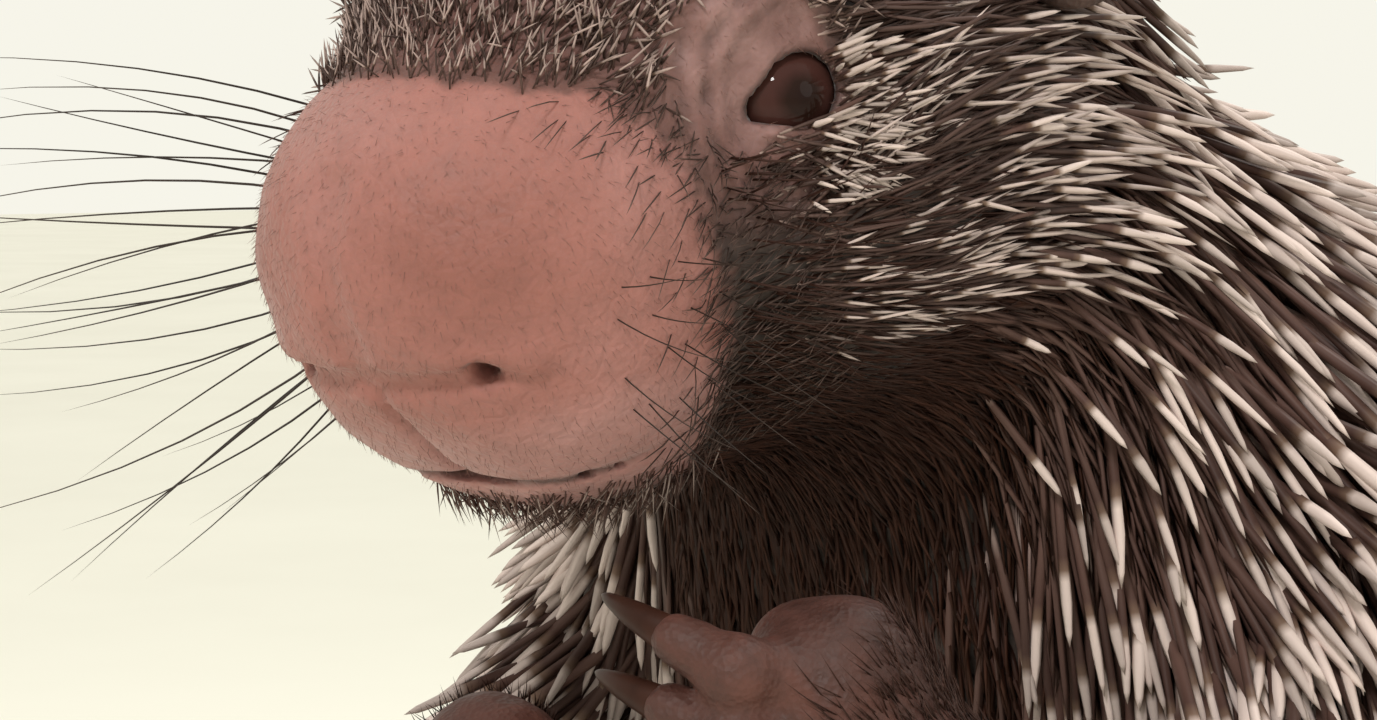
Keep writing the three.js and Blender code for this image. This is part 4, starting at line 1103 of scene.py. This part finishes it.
def soft_fur():
    soft = np.maximum((1 - pool.dorsal) * (1 - pool.limb_share), pool.limb_share)
    face = ease(pool.fore, -30, -5) * ease(pool.at[:, 2], 222, 236)
    chosen = pool.take(soft * ease(pool.eye, 1.05, 1.25) * pool.furred, mix(2.35, 1.6, face))
    count, face = len(chosen), face[chosen]
    lengths = mix(11.0, 5.5, face) * random.uniform(0.6, 1.25, count)
    heights = mix(2.8, 1.3, face) * random.uniform(0.4, 1.2, count)
    radii = mix(0.44, 0.15, face) * random.uniform(0.7, 1.2, count)
    belly = 1 - ease(pool.at[chosen, 2], 120, 185)
    belly = np.maximum(belly, 0.5 * face * ease(pool.rise[chosen], -24, -14))
    grow(
        "coat_soft", soft_hair, chosen, lengths, radii, heights,
        sides=3, profile=HAIR_PROFILE, bend=-0.06, jitter=0.16, white=belly,
    )


def facing_layer(
    name, material, chosen, ways, lengths, radii, *, sides=3, profile=HAIR_PROFILE, bend=-0.05, **tones,
):
    """A layer whose directions are given, on the chosen places of the pool."""
    outs = pool.out[chosen]
    coat_layer(
        name, material, pool.at[chosen] - outs * 0.1, outs, ways, lengths, radii,
        unwrap(pool.s[chosen], pool.angle[chosen]), sides=sides, profile=profile, bend=bend,
        tone=random.random(len(chosen)), **tones,
    )


def lifted(chosen, along, degrees):
    """Directions along the skin, raised off it by so many degrees."""
    outs = pool.out[chosen]
    return raised(flattened(along, outs), outs, np.radians(degrees))


def away_from_eye(chosen):
    """Directions over the skin that lead away from the nearer eye."""
    side = np.sign(pool.at[chosen, 0])
    return unit(from_eye(pool.at[chosen]) * np.stack([side, 0 * side + 1, 0 * side + 1], 1))


def white_share(count, share, low, high):
    """How white each of so many quills is: a share of them, by a random amount, and the others not at all."""
    return np.where(random.random(count) < share, random.uniform(low, high, count), 0.0)


def forehead_quills():
    """Short thin quills over brow and forehead, down to the bare nose."""
    above = ease(pool.rise, 2, 8) * (pool.fore > -4)
    chosen = pool.take(above * (1 - pool.bald) * ease(pool.eye, 1.0, 1.15), 0.95)
    count = len(chosen)
    near_nose = ease(pool.fore[chosen], 14, 30)
    along = jittered(np.zeros((count, 3)) + UP * 0.3, 0.35) - FORWARD
    ways = lifted(chosen, along, mix(32, 48, near_nose) + random.uniform(-14, 14, count))
    lengths = mix(6.2, 3.8, near_nose) * random.uniform(0.6, 1.15, count)
    lengths = lengths * mix(0.6, 1.0, ease(pool.eye[chosen], 1.1, 1.5))
    radii = mix(0.15, 0.1, near_nose) * random.uniform(0.8, 1.2, count)
    white = white_share(count, 0.75, 0.5, 0.95)
    facing_layer(
        "coat_forehead", quill_brow, chosen, ways, lengths, radii,
        sides=4, profile=FINE_PROFILE, white=white,
    )


def eye_quills():
    """Pale short quills that lead away from the bare skin behind and under the eye."""
    behind = away_from_eye(np.arange(len(pool.at))) @ FORWARD < 0.45
    near = ease(pool.eye, 0.9, 0.98) * (1 - ease(pool.eye, 1.3, 1.7))
    chosen = pool.take(behind * near * (1 - ease(pool.rise, 1, 6)) * (pool.rise > -13), 0.85)
    count = len(chosen)
    tufts = np.sin(pool.at[chosen] * 1.9 + (0, 1, 2))
    along = away_from_eye(chosen) * 1.2 - FORWARD * 0.8 + tufts * 0.16 + random.normal(0, 0.07, (count, 3))
    ways = lifted(chosen, along, 18 + random.uniform(-8, 12, count))
    white = white_share(count, 0.9, 0.8, 1.0)
    lengths, radii = random.uniform(3.0, 6.0, count), random.uniform(0.2, 0.34, count)
    facing_layer(
        "coat_eye_quills", quill_face, chosen, ways, lengths, radii,
        sides=4, profile=FINE_PROFILE, white=white,
    )


def side_hairs():
    """Dark short hairs between nose and eye and over the side of the muzzle, that point forward and down."""
    ahead = pool.fore - np.interp(pool.rise, HAIRLINE_RISE, HAIRLINE_FORE)
    side = (pool.rise < 6) * (pool.rise > -33)
    low = 1 - ease(pool.rise, -9, -3)
    thick = side * ease(pool.eye, 0.95, 1.1) * ease(ahead, -14, -9) * (1 - ease(ahead, -2, 2.5))
    thick = thick * mix(0.7, 1, low)
    sparse = side * ease(ahead, -5, -3) * (1 - ease(ahead, 4, 8)) * 0.4
    layers = (
        ("coat_cheek_hair", pool.take(thick, 1.0), 2.6, 4.6),
        ("coat_muzzle_hair", pool.take(sparse, 2.9 / math.sqrt(THIN)), 3.6, 6.5),
    )
    for name, chosen, shortest, longest in layers:
        count = len(chosen)
        along = FORWARD * 0.9 - UP * 0.28 + random.normal(0, 0.2, (count, 3))
        ways = lifted(chosen, along, 24 + random.uniform(-10, 14, count))
        lengths, radii = random.uniform(shortest, longest, count), 0.075 * random.uniform(0.8, 1.2, count)
        bend = random.uniform(-0.25, 0.0, count)
        facing_layer(name, brown_hair, chosen, ways, lengths, radii, sides=4, profile=FINE_PROFILE, bend=bend)


def drooping(chosen, forward, down, spread, rise):
    """Directions down over the skin and a little forward or back, raised off it by about rise degrees."""
    along = FORWARD * forward - UP * down + random.normal(0, spread, (len(chosen), 3))
    return lifted(chosen, along, rise + random.uniform(-12, 18, len(chosen)))


def chin_hairs():
    """Short bristles on the lower lip and chin."""
    keep = (pool.rise < -32.5) * (pool.fore > 8) * (np.abs(pool.at[:, 0]) < 16)
    chosen = pool.take(keep * 0.9, 1.1)
    count = len(chosen)
    ways = drooping(chosen, 0.25, 0.8, 0.2, 35)
    white = np.where(random.random(count) < 0.25, 0.5, 0.0)
    lengths, radii = random.uniform(2.8, 5.5, count), random.uniform(0.08, 0.14, count)
    facing_layer("coat_chin", quill_face, chosen, ways, lengths, radii, white=white)


def fuzz():
    """Sparse fine hairs on the bare skin of nose and lids."""
    bare = np.maximum(pool.bald, (pool.eye < 1.05) * ease(pool.eye, 0.6, 0.75))
    chosen = pool.take(bare * 0.7 * (pool.rise > -33), 1.2)
    ways = drooping(chosen, -0.3, 0.8, 0.3, 30)
    facing_layer("coat_fuzz", fuzz_hair, chosen, ways, random.uniform(0.7, 1.5, len(chosen)), 0.028)


body_quills()
limb_quills()
head_quills()
dark_underlayer()
soft_fur()
forehead_quills()
eye_quills()
side_hairs()
chin_hairs()
fuzz()


def add_eyes():
    """Eyeballs with a low bulge in front; radial is how far round from the front a point lies."""
    material = eye_material()
    angle = np.linspace(0, math.pi, 41)[1:-1]
    radius = EYE["radius"] + 0.5 * np.clip(1 - (angle / math.radians(44)) ** 2, 0, 1) ** 2
    cosines, sines = circle(64)
    for name, side in SIDES.items():
        facing = gaze(side)
        centre = head_point(side * EYE["x"], 0, 0)
        across = unit(np.cross(facing, (0, 0, 1)))
        flat = cosines * across + sines * np.cross(across, facing)
        ring = np.cos(angle)[:, None, None] * facing + np.sin(angle)[:, None, None] * flat
        front, back = centre + facing * (EYE["radius"] + 0.5), centre - facing * EYE["radius"]
        radial = np.append(np.repeat(angle / (math.pi / 2), 64), [0, 2])
        ball = tube("eye_ball_" + name, centre + radius[:, None, None] * ring, front, back, radial=radial)
        add_piece(ball, material, ["eye_" + name])


add_eyes()


# Paws and feet
def finger(side, i):
    x, y, z = PALM[side]
    height = z + FINGER["spread"] * (0.75 - i)
    reach = FINGER["length"] * (0.86 if i in (0, 3) else 1)
    knuckle = (x - 4, y - 12, height + (1.5 - i) * 0.6)
    tip = (x - 4 - reach, y - 14, height + 2.4 + (1.5 - i) * 0.9)
    return mirrored(((x - 1, y - 4, height), knuckle, tip), side)


def toe(side, i):
    x, y, _ = FOOT_BALL
    away = (i - 1.5) * TOE["spread"]
    reach = TOE["length"] * (0.85 if i in (0, 3) else 1)
    root = (x + away * 0.8, y + 2, 7)
    tip = (x + away * 1.35, y - reach, TOE["radius"] + 1)
    return mirrored((root, ((root[0] + tip[0]) / 2, (root[1] + tip[1]) / 2, 7.4), tip), side)


def forepaw_field(side):
    x, y, z = PALM[side]
    palm = ellipsoid((side * x, y, z), PALM_RADII)
    heel = capsule((side * (x + 10), y + 10, z - 12), (side * (x + 3), y + 4, z - 5), 7.4, 7.4)
    bumps = ((0, 6), (-1, -1), (1, -7))
    pads = [ellipsoid((side * (x - 6), y - 1 + dy, z + dz), (3.4, 4.6, 3.9)) for dy, dz in bumps]
    r = FINGER["radius"]
    digits = []
    for i in range(4):
        path = finger(side, i)
        pad = path[2] + unit(path[1] - path[2]) * 1.5 + np.array([side * -0.4, 1.9, -0.6])
        bones = chain(path, [r, r, r * 0.82], 1.2)
        digits.append(blend(1.6, [bones, knob(path[1], r * 1.13), knob(pad, r * 0.78)]))
    return blend(3.2, [blend(5, [palm, heel, *pads]), blend(1.3, digits)])


def hind_foot_field(side):
    sole = chain(mirrored((FOOT_HEEL, FOOT_ARCH, FOOT_BALL), side), FOOT_RADII, 8)
    pad = ellipsoid((side * (FOOT_BALL[0] - 11), FOOT_BALL[1] + 22, 7), (8, 12, 8))
    r = TOE["radius"]
    digits = []
    for i in range(4):
        path = toe(side, i)
        digits.append(blend(2, [chain(path, [r * 1.2, r, r * 0.85], 1.5), knob(path[1], r * 1.12, r)]))
    foot = blend(5, [blend(8, [sole, pad]), blend(1.5, digits)])
    return lambda x, y, z: smooth_max(foot(x, y, z), 0.3 - z, 1.5)


def local_skin(name, field, low, high, step, turn=np.eye(3), at=(0, 0, 0)):
    """A skin over the field inside a box, turned and moved to its place."""
    axes = [np.arange(a, b, step) for a, b in zip(low, high)]
    points, quads = surface_nets(on_grid(field, axes), axes)
    return quad_mesh(name, points @ turn.T + at, quads)


def foot_box(side, back, front, floor):
    """The corners of a box round a hind foot."""
    near, far = sorted((side * 48, side * 112))
    return np.array([near, front, floor]), np.array([far, back, 30])


def claw(name, digit, shape, towards, material):
    ahead = unit(digit[2] - digit[1])
    start = digit[2] + ahead * GAP
    steps = np.linspace(-0.18, 1, 15)
    path = [start + shape["length"] * t * unit(ahead + towards * shape["curl"] * t) for t in steps]
    thick, middling = shape["radii"]
    radii = np.interp(np.linspace(0, 1, 15), [0, 0.15, 0.55, 0.9, 1], [thick, thick, middling, 0.6, 0.12])
    add_piece(sweep(name.format("horn_"), path, radii, 12, 0.8), material, [name.format("")])


def add_feet():
    skin = paw_material("paw_skin", (0.125, 0.044, 0.031), (0.040, 0.015, 0.011))
    horn = claw_material()
    step = 0.6
    for name, side in SIDES.items():
        middle = PALM[side] * np.array([side, 1, 1])
        hand = (forepaw_field(side), middle - (34, 26, 30), middle + (34, 26, 26), step)
        foot = (hind_foot_field(side), *foot_box(side, 54, -74, -1), step * 1.7)
        for kind, shape in (("forepaw", hand), ("hind_foot", foot)):
            add_piece(local_skin(f"{kind}_skin_{name}", *shape), skin, [f"{kind}_{name}"])
        for i in range(4):
            fore, hind = (f"{kind}_claw_{{}}{name}_{i + 1}" for kind in ("fore", "hind"))
            claw(fore, finger(side, i), FORE_CLAW, np.array([-side * 0.2, 0.9, -0.35]), horn)
            claw(hind, toe(side, i), HIND_CLAW, np.array([0, 0, -1.0]), horn)


def paw_hairs():
    """Short dark hairs over wrist, back of the hand and the top of the hind foot."""
    for name, side in SIDES.items():
        hand = np.array(PALM[side]) * (side, 1, 1)
        wrist = hand + np.array(WRIST) * (side, 1, 1)
        along_arm = unit(hand - wrist)
        roots, outs = field_places(forepaw_field(side), hand - (30, 30, 26), hand + (30, 30, 24), 13000)
        back = 1 - 0.85 * ease(outs @ np.array([-side, -0.2, 0]), 0.2, 0.7)
        keep = random.random(len(roots)) < (1 - ease((roots - wrist) @ along_arm, 14, 27)) * back
        strip = FOREPAW_STRIP + (side < 0)
        local_hairs(f"coat_hand_{name}", roots[keep], outs[keep], along_arm, 2.8, 5.5, 0.09, strip)
        roots, outs = field_places(hind_foot_field(side), *foot_box(side, 50, -66, 0), 8000)
        keep = random.random(len(roots)) < ease(outs[:, 2], -0.1, 0.5) * ease(roots[:, 1], -52, -38)
        forward, strip = np.array([0, -1.0, -0.1]), HIND_FOOT_STRIP + (side < 0)
        local_hairs(f"coat_foot_{name}", roots[keep], outs[keep], forward, 3.5, 7.5, 0.17, strip)


def field_places(field, low, high, count):
    """Seeded random places on a field's surface inside a box, found by rays from round it to its middle."""
    at = (low + high) / 2 + unit(random.normal(0, 1, (count, 3))) * 45
    way = unit(low + (high - low) * random.uniform(0.15, 0.85, (count, 3)) - at)
    travelled = np.zeros(count)
    for _ in range(40):
        step = field(*(at + way * travelled[:, None]).T)
        travelled = travelled + np.clip(step, -2, 8) * 0.9
    roots = at + way * travelled[:, None]
    inside = np.all((roots > low) & (roots < high), axis=1) & (np.abs(field(*roots.T)) < 0.1)
    return roots[inside], slope_of(field, roots[inside])


def local_hairs(name, roots, outs, along, shortest, longest, girth, strip):
    count = len(roots)
    flat = flattened(along + random.normal(0, 0.2, (count, 3)), outs)
    lift = np.radians(random.uniform(8, 30, count))
    lengths = random.uniform(shortest, longest, count)
    ways = off_floor(roots, raised(flat, outs, lift), lengths)
    run = (roots[:, 1] - roots[:, 1].min()) / (np.ptp(roots[:, 1]) + 1e-6)
    patches = in_strip(strip, np.arctan2(outs[:, 0], outs[:, 2]) / (2 * math.pi) + 0.5, run)
    coat_layer(
        name, dark_hair, roots - outs * 0.1, outs, ways, lengths, girth * random.uniform(0.8, 1.2, count),
        patches, sides=3, profile=HAIR_PROFILE, bend=-0.06, tone=random.random(count),
    )


add_feet()
paw_hairs()

# Ears: low cups among the quills behind the eyes
EAR = {"x": 35, "forward": -38, "up": 11, "pitch": -18, "turn": 38}


def ear_turn(side):
    a, b = math.radians(EAR["pitch"]), math.radians(side * EAR["turn"])
    about_x = np.array([[1, 0, 0], [0, math.cos(a), -math.sin(a)], [0, math.sin(a), math.cos(a)]])
    return about_x @ np.array([[math.cos(b), -math.sin(b), 0], [math.sin(b), math.cos(b), 0], [0, 0, 1]])


def ear_field(x, y, z):
    cup = ellipsoid((0, 0, 0), (8.5, 4.5, 11.5))(x, y, z)
    hollow = ellipsoid((0, -2.9, 1), (7.0, 4.6, 9.9))(x, y, z)
    fold = capsule((-3.2, -0.6, -5), (-1.5, 0.6, 6), 1.2, 0.6)
    ridge = capsule((3.4, -0.8, -6), (2.6, 0.4, 3), 1.0, 0.5)
    inner = smooth_max(blend(1.0, [fold, ridge])(x, y, z), cup, 0.5)
    return smooth_min(smooth_max(cup, -hollow, 0.9), inner, 1.6)


def add_ears():
    skin = paw_material("ear_skin", (0.12, 0.070, 0.056), (0.045, 0.026, 0.021))
    box = ((-11, -8, -14), (11, 8, 14), 0.4)
    for name, side in SIDES.items():
        at = head_point(side * EAR["x"], EAR["forward"], EAR["up"])
        mesh = local_skin("ear_skin_" + name, ear_field, *box, ear_turn(side), at)
        add_piece(mesh, skin, ["ear_" + name])


add_ears()


# Tail: quilled at its root, bristly, then bare on the coil
def tail_line(count):
    t = np.linspace(0, len(TAIL_PATH) - 1, count)
    return curve_through(TAIL_PATH, t), np.interp(t, range(len(TAIL_RADII)), TAIL_RADII), t


def add_tail():
    line, radii, _ = tail_line(400)
    flat = np.minimum(1.0, (line[:, 2] - 0.2) / radii)
    steps = np.linalg.norm(np.diff(line, axis=0), axis=1)
    left = np.append(np.cumsum(steps[::-1])[::-1], 0) / TAIL_RADII[-1]
    tip = np.sqrt(np.clip(1 - np.clip(1 - left, 0, 1) ** 2, 0.002, 1))
    mesh = sweep("tail_skin", line, radii * flat * tip, 28)
    add_piece(mesh, tail_material(), ["tail_base", "tail_middle", "tail_tip"])


def tail_places(count, low, high, over):
    """Random roots on the tail between two places of its line, where its skin faces up by more than over."""
    line, radii, t = tail_line(600)
    place = random.uniform(low, high, count)
    turn = random.uniform(0, 2 * math.pi, count)
    at = at_places(place, t, line)
    ahead = unit(at_places(place, t, unit(np.gradient(line, axis=0))))
    side = unit(np.cross(ahead, (0, 0, 1)))
    out = raised(side, np.cross(side, ahead), turn)
    radius = np.interp(place, t, radii)
    radius = radius * np.minimum(1, (at[:, 2] - 0.2) / radius)
    keep = (np.sin(turn) > over) & (whole_field(*(at + out * radius[:, None]).T) > -1)
    patches = in_strip(TAIL_STRIP, turn / (2 * math.pi), place / 10)
    return [values[keep] for values in (place, at + out * (radius - 0.3)[:, None], out, ahead, patches)]


def tail_layer(name, material, count, low, high, over, length, lift, girth, sides, profile):
    """A layer of the tail's coat; length, lift and girth are pairs, at its start and its end."""
    place, roots, outs, ahead, patches = tail_places(int(count / THIN), low, high, over)
    part = (place - low) / (high - low)
    lengths = mix(*length, part) * random.uniform(0.7, 1.15, len(place))
    lifts = np.radians(mix(*lift, part) * random.uniform(0.5, 1.3, len(place)))
    ways = off_floor(roots, jittered(raised(ahead, outs, lifts), 0.07), lengths)
    radii = mix(*girth, part) * random.uniform(0.8, 1.15, len(place))
    coat_layer(
        name, material, roots, outs, ways, lengths, radii, patches,
        sides=sides, profile=profile, bend=-0.04, tone=random.random(len(place)), white=0.9 - 0.3 * part,
    )


add_tail()
tail_layer(
    "coat_tail_quills", quill_back, 2600, 1.3, 4.2, -0.15, (32, 14), (20, 16), (0.75, 0.45),
    5, QUILL_PROFILE,
)
tail_layer(
    "coat_tail_bristles", dark_hair, 7600, 1.2, 7.0, -0.7, (15, 7), (22, 26), (0.34, 0.2),
    3, HAIR_PROFILE,
)

# Whiskers: on each side, how far they point outwards and forwards, least and greatest length, first row
WHISKERS = {1: (0.80, 0.10, 9, 19, 3), -1: (0.64, 0.76, 24, 44, 0)}


def whiskers():
    """Roots, the way each bends, directions and lengths: they point out and forward, in a fan."""
    found = []
    for side, (outward, forwards, shortest, longest, first_row) in WHISKERS.items():
        for row, column in np.ndindex(7, 4):
            if row < first_row:
                continue
            forward = 30.5 - 3.6 * column + random.uniform(-1.2, 1.2)
            up = 2.0 - 4.2 * row + random.uniform(-1.0, 1.0)
            start = head_point(side * 60, forward, up)
            towards = unit(head_point(0, forward - 6, up) - start)
            line = start + towards * np.arange(0, 80, 0.5)[:, None]
            hits = np.flatnonzero(detailed_field(*line.T) < 0)
            if not len(hits):
                continue
            root = line[hits[0]] + towards * 0.3
            out = slope_of(detailed_field, root[None], 0.3)[0]
            fan = 0.58 - 0.21 * row + random.uniform(-0.14, 0.14)
            way = np.array([side * outward, 0, 0]) + FORWARD * forwards + UP * fan
            way = unit(way + out * 0.2 + random.normal(0, 0.06, 3))
            found.append((root, UP * (1 if row < 3 else -1), way, random.uniform(shortest, longest)))
    return [np.array(values) for values in zip(*found)]


def within_box(roots, ways, lengths, proud=11.0):
    """The lengths, cut where a point would stand out of the solids' box by more than the allowance."""
    low, high = (np.array(corner) / MM + (0, SEAT_Y, 0) for corner in cad_box)
    room = np.where(ways > 0, high + proud - roots, roots - low + proud) / np.maximum(np.abs(ways), 1e-6)
    return np.minimum(lengths, room.min(axis=1))


def add_whiskers():
    material = hair_material("whiskers", (0.030, 0.020, 0.016), (0.075, 0.055, 0.045), 0.4)
    roots, outs, ways, lengths = whiskers()
    lengths = within_box(roots, ways, lengths)
    bend = random.uniform(-0.28, 0.05, len(roots))
    coat_layer(
        "whiskers", material, roots, outs, ways, lengths, np.clip(lengths / 230, 0.08, 0.14),
        unwrap(*on_axis(roots)),
        sides=5, profile=WHISKER_PROFILE, bend=bend, tone=random.random(len(roots)),
    )


add_whiskers()

# Camera at the photo's framing, floor, world and lights
FIELD_OF_VIEW = 27.1
VIEW_AZIMUTH, VIEW_ELEVATION, VIEW_DISTANCE = 40.0, 4.0, 280.0
IMAGE = (1377, 720)
NOSE_PIXEL = (480, 241)  # where the nose's middle lies in the image


def direction(azimuth, elevation):
    """The way from the part to a place seen at this azimuth and elevation."""
    a, e = math.radians(azimuth), math.radians(elevation)
    return np.array([math.sin(a) * math.cos(e), -math.cos(a) * math.cos(e), math.sin(e)])


def aim(data, place, azimuth, elevation):
    """An object for a camera's or light's data, that looks back from its azimuth and elevation."""
    made = bpy.data.objects.new(data.name, data)
    made.location = place
    made.rotation_euler = (math.radians(90 - elevation), 0, math.radians(azimuth))
    bpy.context.scene.collection.objects.link(made)
    return made


def add_camera():
    back = direction(VIEW_AZIMUTH, VIEW_ELEVATION)
    azimuth = math.radians(VIEW_AZIMUTH)
    right = np.array([math.cos(azimuth), math.sin(azimuth), 0])
    half = math.tan(math.radians(FIELD_OF_VIEW) / 2)
    scale = VIEW_DISTANCE * half / (IMAGE[0] / 2)
    across, down = ((pixel - size / 2) * scale for pixel, size in zip(NOSE_PIXEL, IMAGE))
    nose = head_point(0, NOSE["forward"], NOSE["up"])
    place = nose + back * VIEW_DISTANCE - right * across + np.cross(back, right) * down
    data = bpy.data.cameras.new("camera")
    data.sensor_width = 36
    data.lens = 18 / half
    data.clip_start = 0.01
    bpy.context.scene.camera = aim(data, to_metres(place), VIEW_AZIMUTH, VIEW_ELEVATION)


# Lights: azimuth, elevation, distance and size in metres, watts, colour
LIGHTS = {
    "key": (20, 40, 0.9, 0.13, 4.2, (1.0, 0.97, 0.95)),
    "fill": (95, 20, 1.1, 0.6, 1.2, (1.0, 0.96, 0.92)),
    "top": (170, 60, 1.0, 0.4, 4.5, (1.0, 0.98, 0.96)),
}
LIT_POINT = (0, -60, 220)


def add_lights():
    for name, (azimuth, elevation, distance, size, power, colour) in LIGHTS.items():
        data = bpy.data.lights.new(name, "AREA")
        data.shape, data.size, data.energy, data.color = "DISK", size, power, colour
        aim(data, to_metres(LIT_POINT) + direction(azimuth, elevation) * distance, azimuth, elevation)


def add_stage():
    n = Nodes("floor")
    tint = n.ramp(n.noise(3.0, 3.0), (0.3, (0.80, 0.785, 0.70)), (0.7, (0.84, 0.825, 0.74)))
    n.link(tint, "Emission Color")
    reach = 12000.0
    corners = [(-reach, -reach, 0), (reach, -reach, 0), (reach, reach, 0), (-reach, reach, 0)]
    floor = bpy.data.objects.new("floor", new_mesh("floor", corners, [0, 1, 2, 3], [4]))
    bpy.context.scene.collection.objects.link(floor)
    floor.data.materials.append(n.finish(tint, Roughness=0.85, Emission_Strength=0.12))
    world = bpy.data.worlds.new("world")
    bpy.context.scene.world = world
    world.use_nodes = True
    background = world.node_tree.nodes["Background"]
    background.inputs["Color"].default_value = (1.0, 0.98, 0.88, 1)
    background.inputs["Strength"].default_value = 0.93


add_camera()
add_stage()
add_lights()
bpy.context.scene.view_settings.view_transform = "Standard"
